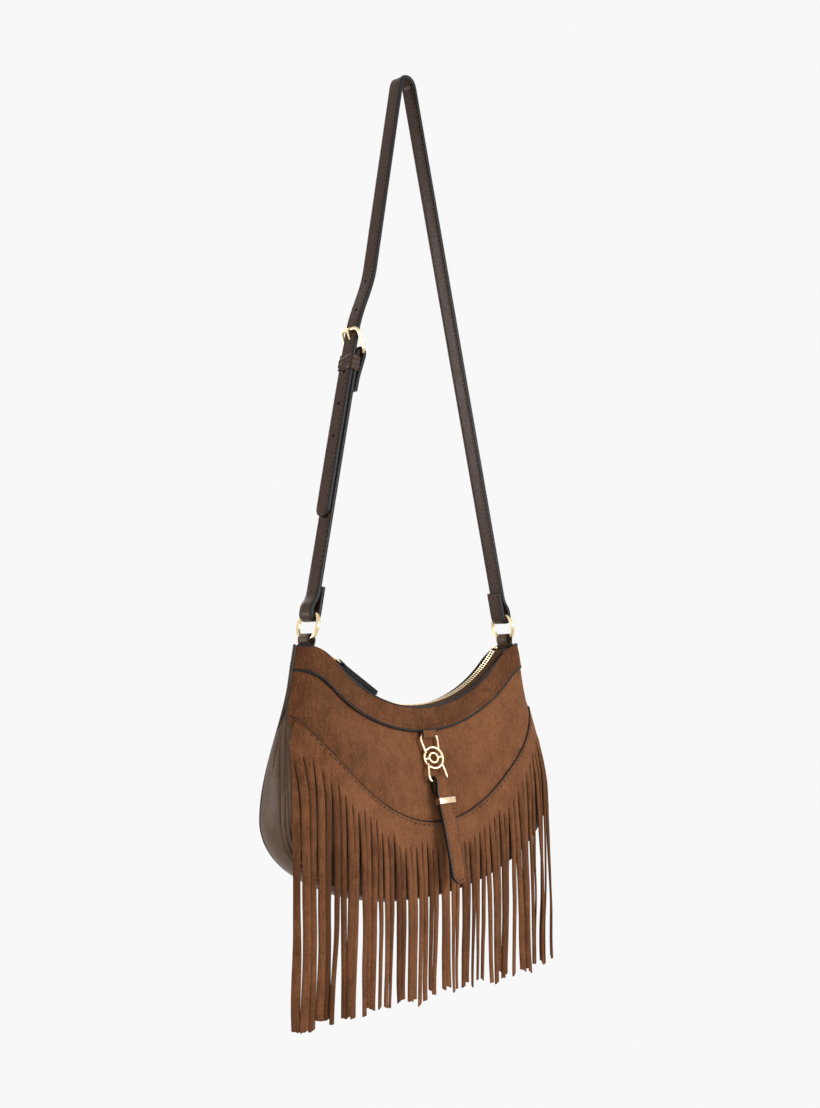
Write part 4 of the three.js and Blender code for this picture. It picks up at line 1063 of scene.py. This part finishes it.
class BAG_OT_zip(bpy.types.Operator):
    """Tapes, teeth, stops, slider and pull"""

    bl_idname = "bag.zip"
    bl_label = "Zip"

    def execute(self, context):
        for name, sign, reach in (("front", -1, 7.9), ("back", 1, 5.9)):
            def tape(u, v):
                angle = lerp(-ZIP_HALF_ANGLE, ZIP_HALF_ANGLE, u)
                return zip_point(angle, sign * lerp(2.2, reach, v), 0.45 - TAPE_FALL * v * v)

            bm = grid(96, 6, tape, flip=sign < 0)
            strip = piece(bm, f"{name}_tape", "bag", ["tape"], [f"{name}_zip_tape"], wall=0.8)

            pitch = sizes().tooth_pitch / MM / ZIP_RADIUS
            count = int(2 * ZIP_HALF_ANGLE / pitch)
            teeth = bmesh.new()
            for n in range(count):
                angle = -ZIP_HALF_ANGLE + (n + (0.25 if sign < 0 else 0.75)) * pitch
                move = on_zip(angle) @ Matrix.Translation((0, sign * 1.75, 0.1))
                together(teeth, block((1.5, 2.6, 2.3), 0.45, move, 1))
            piece(teeth, f"{name}_teeth", "bag", ["gold"], [f"{name}_zip_teeth"], flat_angle=30)

        for name, sign in (("left", -1), ("right", 1)):
            move = on_zip(sign * (ZIP_HALF_ANGLE + 1.6 / ZIP_RADIUS))
            bm = block((2.5, 5.0, 2.3), 0.6, move)
            piece(bm, f"{name}_stop", "bag", ["gold"], [f"{name}_zip_stop"])

        seat = on_zip(SLIDER_ANGLE)
        top = block((9, 8, 1.3), 0.55, seat @ Matrix.Translation((0, 0, 2.15)), 3)
        for v in top.verts:
            local = seat.inverted() @ Vector(v.co / MM)
            local.y *= 1 - 0.25 * smooth((local.x - 0.5) / 4.0)
            v.co = (seat @ local) * MM
        under = block((9, 7.6, 1.2), 0.5, seat @ Matrix.Translation((0, 0, -2.15)), 3)
        post = block((4.4, 0.7, 4.2), 0.2, seat, 1)
        bail = turn(Vector((0, 0, 4.65)), 1.45, -0.9, math.pi + 0.9, 22)
        arch = wire([seat @ p for p in bail], Y, 0.55, 10)
        foot = block((3.0, 1.5, 1.0), 0.3, seat @ Matrix.Translation((0, 0, 3.1)), 2)
        bm = together(top, under, post, arch, foot)
        piece(bm, "slider_metal", "slider", ["gold"], ["zip_slider"], flat_angle=35)

        pull = on_zip(SLIDER_ANGLE, PULL_LIFT, 4.6)

        def squared(t):
            return math.copysign(abs(t) ** 0.5, t)

        loop = []
        for i in range(40):
            a = 2 * math.pi * i / 40
            loop.append(pull @ Vector((2.9 * (1 - squared(math.cos(a))), 4.5 * squared(math.sin(a)), 0)))
        normal = (pull.to_3x3() @ Z).normalized()
        piece(wire(loop, normal, 0.62, 10, True), "pull_link", "pull", ["gold"], ["zip_pull_link"])

        near, far = 5.2, 5.2 + PULL_LENGTH - 4.4

        def leaf(sign):
            path = []
            for i in range(31):
                t = i / 30
                shut = smooth((t - 0.04) / 0.14)
                path.append(Vector((lerp(near, far, t), 0, sign * lerp(1.75, 1.02, shut))))
            return path

        fold = turn(Vector((near, 0, 0)), 1.75, math.pi / 2, 3 * math.pi / 2, 12)
        path = [*reversed(leaf(1)), *fold[1:-1], *leaf(-1)]
        strip = band([pull @ p for p in path], Y, PULL_WIDTH, 1.95)
        piece(strip, "pull_leather", "pull", ["paint", "paint"], ["zip_pull"])
        rows = []
        for y in (-2.3, 2.3):
            rows.append([(pull @ Vector((p.x, y, p.z + 1.0)), normal) for p in leaf(1)[6:-1]])
        sewn(rows, "pull_stitches", "pull", "dark_thread", 0.62)
        return {"FINISHED"}


# Strap


def leg_lean():
    crown, drop = CROWN_RADIUS + STRAP_T / 2, STRAP_DROP - CROWN_RADIUS
    return math.atan2(RING_X, drop) - math.asin(crown / math.hypot(RING_X, drop))


LEAN = leg_lean()
LEAF_HALF = RING_WIRE / 2 + 0.5 + STRAP_T / 2
FOLDED_LEAF = STRAP_T + SEAT_GAP
TAIL_IN = -FOLDED_LEAF
BAR_FOLD = BUCKLE_WIRE / 2 + 0.5 + STRAP_T / 2
UPPER_BAR_IN = TAIL_IN - STRAP_T / 2 - SEAT_GAP - BUCKLE_WIRE / 2
BUCKLE_TILT = math.asin((BAR_FOLD - UPPER_BAR_IN) / BUCKLE_BAR_GAP)
LOWER_BAR_UP = BUCKLE_UP - BUCKLE_BAR_GAP / 2 * math.cos(BUCKLE_TILT)


def leg(side, inward, up):
    """A point beside a leg of the strap: inward from its middle, and up along it from the ring's centre."""
    x = RING_X - up * math.sin(LEAN) - inward * math.cos(LEAN)
    return Vector((side * x, 0, -STRAP_DROP + up * math.cos(LEAN) - inward * math.sin(LEAN)))


def ring_fold():
    """The strap's end folded round a ring, as (inward, up)."""
    bend = math.sqrt(100 - (STRAP_WIDTH / 2) ** 2) - SEAT_GAP - STRAP_T / 2 + LEAF_HALF
    round_ring = [(LEAF_HALF * math.cos(a), bend + LEAF_HALF * math.sin(a))
                  for a in [-math.pi * i / 16 for i in range(17)]]
    return [
        (FOLDED_LEAF, FOLD_END), (LEAF_HALF, RING_RADIUS + LEAF_HALF), *round_ring,
        (-LEAF_HALF, RING_RADIUS + LEAF_HALF), (-LEAF_HALF * 0.35, FOLD_JOIN * 0.8), (0, FOLD_JOIN),
    ]


def face_rows(path, width, thickness, start, end, sides=(1, -1), inset=2.1):
    """Rows of stitches along both edges of both faces of a strap across Y."""
    ways = tangents(path, False)
    rows = []
    for face in sides:
        for y in (-width / 2 + inset, width / 2 - inset):
            row = []
            for p, t in list(zip(path, ways))[start:end]:
                out = t.cross(Y).normalized() * face
                row.append((p + out * (thickness / 2) + Y * y, out))
            rows.append(row)
    return rows


class BAG_OT_strap(bpy.types.Operator):
    """The two lengths of strap with their stitching and holes"""

    bl_idname = "bag.strap"
    bl_label = "Strap"

    def execute(self, context):
        fold = ring_fold()
        crown = turn(Vector((0, 0, -CROWN_RADIUS)), CROWN_RADIUS + STRAP_T / 2, LEAN, math.pi - LEAN, 24)
        over = [leg(1, *p) for p in fold] + crown
        for t in (0, 0.15, 0.3, 0.45, 0.6, 0.75, 0.9, 1):
            up = BUCKLE_UP + lerp(BEND_END, BEND_START, t)
            over.append(leg(-1, lerp(BEND_IN - 0.6, TAIL_IN, smooth(t)), up))
        over += [leg(-1, TAIL_IN, BUCKLE_UP)]
        for t in (0.3, 0.6, 0.9, 1):
            over.append(leg(-1, TAIL_IN - 0.4 * math.sin(math.pi * t), lerp(BUCKLE_UP, TAIL_END, t)))
        path = relaxed(resampled(over, STRAP_STEP), 3)
        tail = path[-1]

        def width_at(i):
            from_end = STRAP_WIDTH / 2 - (path[i] - tail).length
            if from_end <= 0:
                return STRAP_WIDTH
            return 2 * math.sqrt(max((STRAP_WIDTH / 2) ** 2 - from_end**2, 0.5))

        bm = band(path, Y, STRAP_WIDTH, STRAP_T, width_at)
        long_strap = piece(bm, "long_strap", "strap", ["strap", "paint"], ["strap_long"])
        self.punch(long_strap, [BUCKLE_UP + n * HOLE_PITCH for n in (-3, -2, -1, 1, 2)])

        under = [leg(-1, *p) for p in fold] + [leg(-1, 0, LOWER_BAR_UP)]
        for i in range(1, 15):
            a = math.pi - math.pi * i / 14
            under.append(leg(-1, BAR_FOLD + BAR_FOLD * math.cos(a), LOWER_BAR_UP + BAR_FOLD * math.sin(a)))
        under += [leg(-1, FOLDED_LEAF + 0.6, BUCKLE_FOLD_END + 12), leg(-1, FOLDED_LEAF + 0.3, BUCKLE_FOLD_END)]
        short = relaxed(resampled(under, STRAP_STEP), 3)
        bm = band(short, Y, STRAP_WIDTH, STRAP_T)
        piece(bm, "short_strap", "strap", ["strap", "paint"], ["strap_short"])

        above_fold = int(38 / STRAP_STEP) + 26
        rows = face_rows(path, STRAP_WIDTH, STRAP_T, above_fold, len(path) - 6)
        rows += face_rows(short, STRAP_WIDTH, STRAP_T, above_fold, len(short) - 40)
        for side in (-1, 1):
            for inward, out in ((FOLDED_LEAF + STRAP_T / 2, -side), (-STRAP_T / 2 - 0.1, side)):
                for up in (FOLD_END - 3.2, FOLD_JOIN + 2.2):
                    away = Vector((out * math.cos(LEAN), 0, math.sin(LEAN) * out * side)).normalized()
                    rows.append([(leg(side, inward, up) + Y * y, away) for y in (-5, -2, 2, 5)])
        sewn(rows, "strap_stitches", "strap", "dark_thread")
        return {"FINISHED"}

    def punch(self, strap, ups):
        """Cuts the round holes for the prong through the tail."""
        cutters = bmesh.new()
        for up in ups:
            bent = smooth((up - BUCKLE_UP - BEND_START) / (BEND_END - BEND_START))
            hole = leg(-1, lerp(TAIL_IN, BEND_IN, bent), up) * MM
            bmesh.ops.create_cone(
                cutters, cap_ends=True, segments=20, radius1=HOLE_RADIUS * MM, radius2=HOLE_RADIUS * MM,
                depth=12 * MM, matrix=Matrix.Translation(hole) @ Matrix.Rotation(LEAN + math.pi / 2, 4, "Y"))
        mesh = bpy.data.meshes.new("drills")
        cutters.to_mesh(mesh)
        cutters.free()
        mesh.materials.append(finish("paint"))
        drills = bpy.data.objects.new("drills", mesh)
        bpy.context.scene.collection.objects.link(drills)
        cut = strap.modifiers.new("Holes", "BOOLEAN")
        cut.operation, cut.solver, cut.object, cut.material_mode = "DIFFERENCE", "EXACT", drills, "TRANSFER"
        bpy.context.view_layer.update()
        done = bpy.data.meshes.new_from_object(strap.evaluated_get(bpy.context.evaluated_depsgraph_get()))
        strap.modifiers.remove(cut)
        old, strap.data = strap.data, done
        done.set_sharp_from_angle(angle=math.radians(40))
        bpy.data.meshes.remove(old)
        bpy.data.objects.remove(drills)
        bpy.data.meshes.remove(mesh)


class BAG_OT_buckle(bpy.types.Operator):
    """Buckle frame, prong and keeper"""

    bl_idname = "bag.buckle"
    bl_label = "Buckle"

    def execute(self, context):
        half, reach, corner = STRAP_WIDTH / 2 + 1.2 + BUCKLE_WIRE / 2, BUCKLE_BAR_GAP / 2, 4
        middle = leg(-1, (BAR_FOLD + UPPER_BAR_IN) / 2, BUCKLE_UP)
        tilt = Matrix.Translation(middle) @ Matrix.Rotation(LEAN - BUCKLE_TILT, 4, "Y")
        flat = rounded_box(half, reach, corner, 9, Y, Z)
        path = [tilt @ p for p in resampled([*flat, flat[0]], 1.2)[:-1]]
        bm = wire(path, (tilt.to_3x3() @ X).normalized(), BUCKLE_WIRE / 2, 16, True)
        piece(bm, "buckle_metal", "strap", ["gold"], ["buckle_frame"], flat_angle=0)

        slack = BUCKLE_WIRE / 2 + SEAT_GAP + 0.9
        angle = BUCKLE_TILT + math.asin(slack / BUCKLE_BAR_GAP)
        prong_end = math.sqrt(BUCKLE_BAR_GAP**2 - slack**2) + 2.5

        def along(distance, out):
            inward = BAR_FOLD - distance * math.sin(angle) - out * math.cos(angle)
            return leg(-1, inward, LOWER_BAR_UP + distance * math.cos(angle) - out * math.sin(angle))

        eye = 1.5 + 0.5 + 0.9
        bar = leg(-1, BAR_FOLD, LOWER_BAR_UP)
        pin = [along(lerp(eye - 0.3, prong_end, i / 14), 0.5 * math.sin(math.pi * i / 14)) for i in range(15)]
        prong = wire(pin, Y, 0.95, 12)
        prong_eye = ring(bar, Y, eye, 0.9, 32, 12)
        bm = together(prong, prong_eye)
        piece(bm, "prong_metal", "strap", ["gold"], ["buckle_prong"], flat_angle=50)

        inner, outer = STRAP_T / 2 + 0.9, TAIL_IN - STRAP_T / 2 - 0.9
        across = STRAP_WIDTH / 2 + 0.9
        mid, deep = (inner + outer) / 2, (inner - outer) / 2
        loop = rounded_box(across, deep, 1.6, 5, X, Y)
        loop = resampled([*loop, loop[0]], 0.8)[:-1]
        count = len(loop)

        def keeper(u, v):
            i = int(round(u * count)) % count
            p = loop[i]
            away = Vector((p.x / across, p.y / deep)).normalized()
            crinkle = 0.35 * rough((p.x, p.y, v * 22), 3.4, 6.0) + 0.5 * math.sin(v * 19 + p.x * 0.35) * 0.35
            fullness = 0.55 * math.sin(math.pi * v)
            spread = fullness + crinkle
            place = leg(-1, mid + p.y + away.y * spread, KEEPER_UP + v * KEEPER_HEIGHT)
            return place + Y * (p.x + away.x * spread)

        bm = grid(count, 26, keeper)
        bmesh.ops.recalc_face_normals(bm, faces=bm.faces)
        if sum(f.normal.dot(f.calc_center_median() - bar * MM) for f in bm.faces) < 0:
            bmesh.ops.reverse_faces(bm, faces=bm.faces)
        piece(
            bm, "keeper_leather", "strap", ["strap", "paint"], ["strap_keeper"],
            wall=0.9, rim=1)
        return {"FINISHED"}


class BAG_OT_rings(bpy.types.Operator):
    """Rings and the leather tabs that hold them"""

    bl_idname = "bag.rings"
    bl_label = "Rings and tabs"

    def execute(self, context):
        for name, side in (("left", -1), ("right", 1)):
            axis = Vector((math.cos(LEAN), 0, math.sin(LEAN) * side))
            bm = ring(Vector((side * RING_X, 0, -STRAP_DROP)), axis, RING_RADIUS, RING_WIRE / 2)
            piece(bm, f"{name}_ring_metal", f"{name}_ring", ["gold"], [f"{name}_ring"], flat_angle=0)

            middle = side * (RING_X + RING_RADIUS * math.sin(LEAN) - 0.8)
            bend_z = -STRAP_DROP - 8 + 0.6 - 3.1
            seat_z = -STRAP_DROP - RING_RADIUS - RING_WIRE / 2 - SEAT_GAP
            path = [Vector((middle - 1.0, 0, CORNER_Z - 12)), Vector((middle - 1.0, 0, CORNER_Z - 4))]
            path += [Vector((middle - 3.9, 0, seat_z + 1.5))]
            path += turn(Vector((middle, 0, bend_z)), 3.9, math.pi, 0, 16)
            path += [Vector((middle + 3.9, 0, seat_z + 1.5))]
            path += [Vector((middle + 1.0, 0, CORNER_Z - 4)), Vector((middle + 1.0, 0, CORNER_Z - 12))]
            path = relaxed(resampled(path, 0.9), 3)
            bm = band(path, Y, TAB_WIDTH, TAB_T)
            piece(bm, f"{name}_tab_leather", "bag", ["body", "paint"], [f"{name}_ring_tab"])
            rows = face_rows(path, TAB_WIDTH, TAB_T, 8, 24, (-1,), 1.7)
            rows += face_rows(path, TAB_WIDTH, TAB_T, len(path) - 24, len(path) - 8, (-1,), 1.7)
            sewn(rows, f"{name}_tab_stitches", "bag", "dark_thread", 0.6)
        return {"FINISHED"}


# Ornament

LINK_DOWN = Vector((0, -math.sin(LINK_TILT), -math.cos(LINK_TILT)))
LINK_NORMAL = Vector((0, -math.cos(LINK_TILT), math.sin(LINK_TILT)))
LOWER_BAIL = UPPER_BAIL + LINK_DOWN * LINK_LENGTH
TONGUE_DOWN = Vector((0, -math.sin(TONGUE_TILT), -math.cos(TONGUE_TILT)))
TONGUE_OUT = Vector((0, -math.cos(TONGUE_TILT), math.sin(TONGUE_TILT)))


class BAG_OT_ornament(bpy.types.Operator):
    """Suede loop, metal link and hanging tongue"""

    bl_idname = "bag.ornament"
    bl_label = "Ornament"

    def execute(self, context):
        fold = BAIL_WIRE / 2 + SEAT_GAP + 0.5
        wrap = [Vector((0, fold, fold + 1.4)), Vector((0, fold, fold))]
        wrap += turn(Vector((0, 0, 0)), fold, 0, -math.pi, 16, Y, Z)
        wrap += [Vector((0, -fold, fold)), Vector((0, -fold * 0.8, fold + 2.2))]
        path = [UPPER_BAIL + p for p in relaxed(resampled(wrap, 0.5), 2)]
        bm = band(path, X, LOOP_WIDTH, 1.0)
        piece(bm, "loop_suede", "bag", ["suede", "paint"], ["ornament_loop"])

        def spot(across, down):
            return UPPER_BAIL + X * across + LINK_DOWN * down

        radius = BAIL_WIRE / 2
        facing = Matrix.Rotation(math.radians(MEDALLION_TURN), 3, LINK_DOWN)
        metal = ring(spot(0, LINK_LENGTH / 2), facing @ LINK_NORMAL, MEDALLION_RADIUS, radius, 60, 14)
        parts = [ring(spot(0, LINK_LENGTH / 2), facing @ LINK_NORMAL, MEDALLION_CORE, radius * 0.85, 40, 12)]
        for sign in (-1, 1):
            reach = [sign * lerp(MEDALLION_CORE, MEDALLION_RADIUS, i / 6) for i in range(7)]
            spoke = [spot(0, LINK_LENGTH / 2) + facing @ X * across for across in reach]
            parts.append(wire(spoke, facing @ LINK_NORMAL, radius * 0.8, 10))
        for width, end, sign in ((LOOP_WIDTH, 0, 1), (TONGUE_WIDTH, LINK_LENGTH, -1)):
            half = width / 2 + 0.9 + radius
            shoulder = LINK_LENGTH / 2 - sign * MEDALLION_RADIUS * 0.5
            waist = MEDALLION_RADIUS * 0.866
            arm = [(waist, shoulder), (half - 0.2, end + sign * 5.5), (half, end + sign * 3),
                   (half - 0.5, end + sign * 1.2), (half - 2.2, end)]
            flat = [(-across, down) for across, down in arm] + arm[::-1]
            bail = relaxed(resampled([spot(*p) for p in flat], 0.7), 6)
            parts.append(wire(bail, LINK_NORMAL, radius, 14))
        piece(together(metal, *parts), "link_metal", "link", ["gold"], ["ornament_link"], flat_angle=60)

        fold = BAIL_WIRE / 2 + SEAT_GAP + TONGUE_T / 2

        def beside(out, down):
            return LOWER_BAIL + TONGUE_OUT * out + TONGUE_DOWN * down

        wrap = [beside(-fold * 0.6, 9)]
        wrap += turn(LOWER_BAIL, fold, math.pi, 0, 14, TONGUE_OUT, -TONGUE_DOWN)
        wrap += [beside(fold * 0.8, TONGUE_KEEPER_DOWN)]
        wrap += [beside(fold + 0.6 * math.sin(math.pi * t), lerp(TONGUE_KEEPER_DOWN, TONGUE_LENGTH, t))
                 for t in (0.25, 0.5, 0.75, 1)]
        path = relaxed(resampled(wrap, 0.6), 4)
        tip = path[-1]

        def width_at(i):
            from_end = TONGUE_WIDTH / 2 - (path[i] - tip).length
            if from_end > 0:
                return 2 * math.sqrt(max((TONGUE_WIDTH / 2) ** 2 - from_end**2, 0.4))
            down = (path[i] - LOWER_BAIL).dot(TONGUE_DOWN)
            return TONGUE_WIDTH * lerp(0.86, 1.0, smooth((down - 2) / 8))

        bm = band(path, X, TONGUE_WIDTH, TONGUE_T, width_at)
        piece(bm, "tongue_suede", "tongue", ["suede", "paint"], ["tongue"])

        inset = 2.0
        edge = TONGUE_WIDTH / 2 - inset
        face = TONGUE_T / 2 + 0.05
        down_path = [p for p in path if (p - LOWER_BAIL).dot(TONGUE_DOWN) > 6 and (p - path[0]).length > 12]
        straight = [p for p in down_path if (p - tip).length > TONGUE_WIDTH / 2]
        right = [(p + X * edge + TONGUE_OUT * face, TONGUE_OUT) for p in straight]
        left = [(p - X * edge + TONGUE_OUT * face, TONGUE_OUT) for p in reversed(straight)]
        turn_at = straight[-1] + TONGUE_OUT * face
        bend = [(p, TONGUE_OUT) for p in turn(turn_at, edge, 0, math.pi, 16, X, TONGUE_DOWN)]
        holes = [[(beside(fold * 0.85 + face, 8.6) + X * x, TONGUE_OUT) for x in (-3.6, 0, 3.6)]]
        sewn([right + bend + left, *holes], "tongue_stitches", "tongue", "thread", 0.9)

        out_at = fold * 0.8
        flat = rounded_box(TONGUE_WIDTH / 2 + 0.8, TONGUE_T / 2 + 0.75, 0.7, 4, X, Y)
        loop = [beside(out_at + p.y, TONGUE_KEEPER_DOWN) + X * p.x for p in flat]
        bm = band(loop, TONGUE_DOWN, TONGUE_KEEPER_HEIGHT, 0.8, closed=True)
        piece(bm, "tongue_loop_suede", "tongue", ["suede", "paint"], ["tongue_keeper"])

        seat = beside(out_at + TONGUE_T / 2 + 0.3 + 0.9 + 0.3 + 0.5, TONGUE_KEEPER_DOWN)
        turn_to = Matrix((X, TONGUE_DOWN, TONGUE_OUT)).transposed().to_4x4()
        bm = block((18.4, 5.0, 1.0), 0.28, Matrix.Translation(seat) @ turn_to, 3)
        piece(bm, "plate_metal", "tongue", ["gold"], ["tongue_plate"], flat_angle=30)
        return {"FINISHED"}


# Stage


class BAG_OT_stage(bpy.types.Operator):
    """Camera, backdrop, floor and lights"""

    bl_idname = "bag.stage"
    bl_label = "Stage"

    def execute(self, context):
        scene = context.scene
        scene.view_settings.view_transform = "Standard"
        camera = bpy.data.cameras.new("camera")
        camera.sensor_fit = "VERTICAL"
        camera.sensor_height = 24
        camera.lens = 1310.85 * 24 / 1108
        camera.clip_start, camera.clip_end = 0.05, 30
        eye = bpy.data.objects.new("camera", camera)
        scene.collection.objects.link(eye)
        azimuth, pitch, roll = math.radians(44.657), math.radians(4.640), math.radians(-1.016)
        level = Vector((math.cos(azimuth), -math.sin(azimuth), 0))
        ahead = Vector((math.sin(azimuth), math.cos(azimuth), 0)) * math.cos(pitch) + Z * math.sin(pitch)
        upright = level.cross(ahead)
        right = level * math.cos(roll) + upright * math.sin(roll)
        above = upright * math.cos(roll) - level * math.sin(roll)
        place = Vector((-0.78011, -0.78804, -0.50446))
        eye.matrix_world = Matrix.Translation(place) @ Matrix((right, above, -ahead)).transposed().to_4x4()
        scene.camera = eye

        paper = tuple_of(scene.bag_colours.backdrop)
        world = bpy.data.worlds.new("studio")
        scene.world = world
        w = Finish("studio", world)
        rays = w.add("ShaderNodeLightPath")
        seen = rays.output("Is Camera Ray")
        for kind in ("Is Glossy Ray", "Is Transmission Ray"):
            seen = w.add("ShaderNodeMath", {"operation": "MAXIMUM"}, {0: seen, 1: rays.output(kind)})
        sky = w.add("ShaderNodeBackground", {}, {"Color": (*paper, 1), "Strength": 0.5 * seen + 0.5})
        w.add("ShaderNodeOutputWorld", {}, {"Surface": sky})

        bm = bmesh.new()
        bmesh.ops.create_circle(
            bm, cap_ends=True, segments=96, radius=3.2, matrix=Matrix.Translation((0, 0, -1.16)))
        mesh = bpy.data.meshes.new("floor")
        bm.to_mesh(mesh)
        bm.free()
        f = Finish("floor_paper")
        place = f.place()
        flat = f.stretched(place, (1, 1, 0))
        far = f.add("ShaderNodeVectorMath", {"operation": "LENGTH"}, {0: flat}).output("Value")
        rim = f.ramp(far * 0.3125, [(0.10, 0.0), (0.25, 1.0)])
        near_paper = f.add("ShaderNodeBsdfDiffuse", {}, {"Color": (0.86, 0.86, 0.86, 1)})
        glow = f.add("ShaderNodeEmission", {}, {"Color": (*paper, 1), "Strength": 1.0})
        f.add("ShaderNodeOutputMaterial", {}, {
            "Surface": f.add("ShaderNodeMixShader", {}, {0: rim, 1: near_paper, 2: glow})})
        mesh.materials.append(f.material)
        floor = bpy.data.objects.new("floor", mesh)
        scene.collection.objects.link(floor)

        aim = Vector((0, 0, -0.48))
        for name, place, size, power in (
            ("key", Vector((0.75, -2.0, -0.15)), 1.2, 30),
            ("fill", Vector((-1.3, -1.6, 0.3)), 1.4, 6),
            ("left", Vector((-1.8, 0.2, -1.0)), 0.9, 9),
            ("back", Vector((0.4, 1.9, 0.5)), 1.4, 12),
            ("strip", Vector((-1.5, 1.3, -0.5)), 0.8, 9),
        ):
            lamp = bpy.data.lights.new(name, "AREA")
            lamp.shape, lamp.size, lamp.energy = "DISK", size, power
            light = bpy.data.objects.new(name, lamp)
            scene.collection.objects.link(light)
            way = (aim - place).normalized()
            light.matrix_world = Matrix.Translation(place) @ way.to_track_quat("-Z", "Y").to_matrix().to_4x4()
        return {"FINISHED"}


STEPS = (
    BAG_OT_stage, BAG_OT_strap, BAG_OT_body, BAG_OT_suede_front, BAG_OT_fringe, BAG_OT_zip, BAG_OT_buckle,
    BAG_OT_rings, BAG_OT_ornament,
)


class BAG_PT_sidebar(bpy.types.Panel):
    """Buttons for the bag's pieces"""

    bl_idname = "BAG_PT_sidebar"
    bl_label = "Fringed suede bag"
    bl_space_type = "VIEW_3D"
    bl_region_type = "UI"
    bl_category = "Bag"

    def draw(self, context):
        for group in (context.scene.bag_sizes, context.scene.bag_colours):
            for name in group.bl_rna.properties.keys():
                if name not in ("rna_type", "name"):
                    self.layout.prop(group, name)
        for step in STEPS:
            self.layout.operator(step.bl_idname)


CLASSES = (BagSizes, BagColours, *STEPS, BAG_PT_sidebar)


def register():
    for each in CLASSES:
        bpy.utils.register_class(each)
    bpy.types.Scene.bag_sizes = PointerProperty(type=BagSizes)
    bpy.types.Scene.bag_colours = PointerProperty(type=BagColours)


def unregister():
    del bpy.types.Scene.bag_colours
    del bpy.types.Scene.bag_sizes
    for each in reversed(CLASSES):
        bpy.utils.unregister_class(each)


def main():
    register()
    for step in STEPS:
        group, name = step.bl_idname.split(".")
        getattr(getattr(bpy.ops, group), name)()
    bpy.context.view_layer.update()


if __name__ == "__main__":
    main()
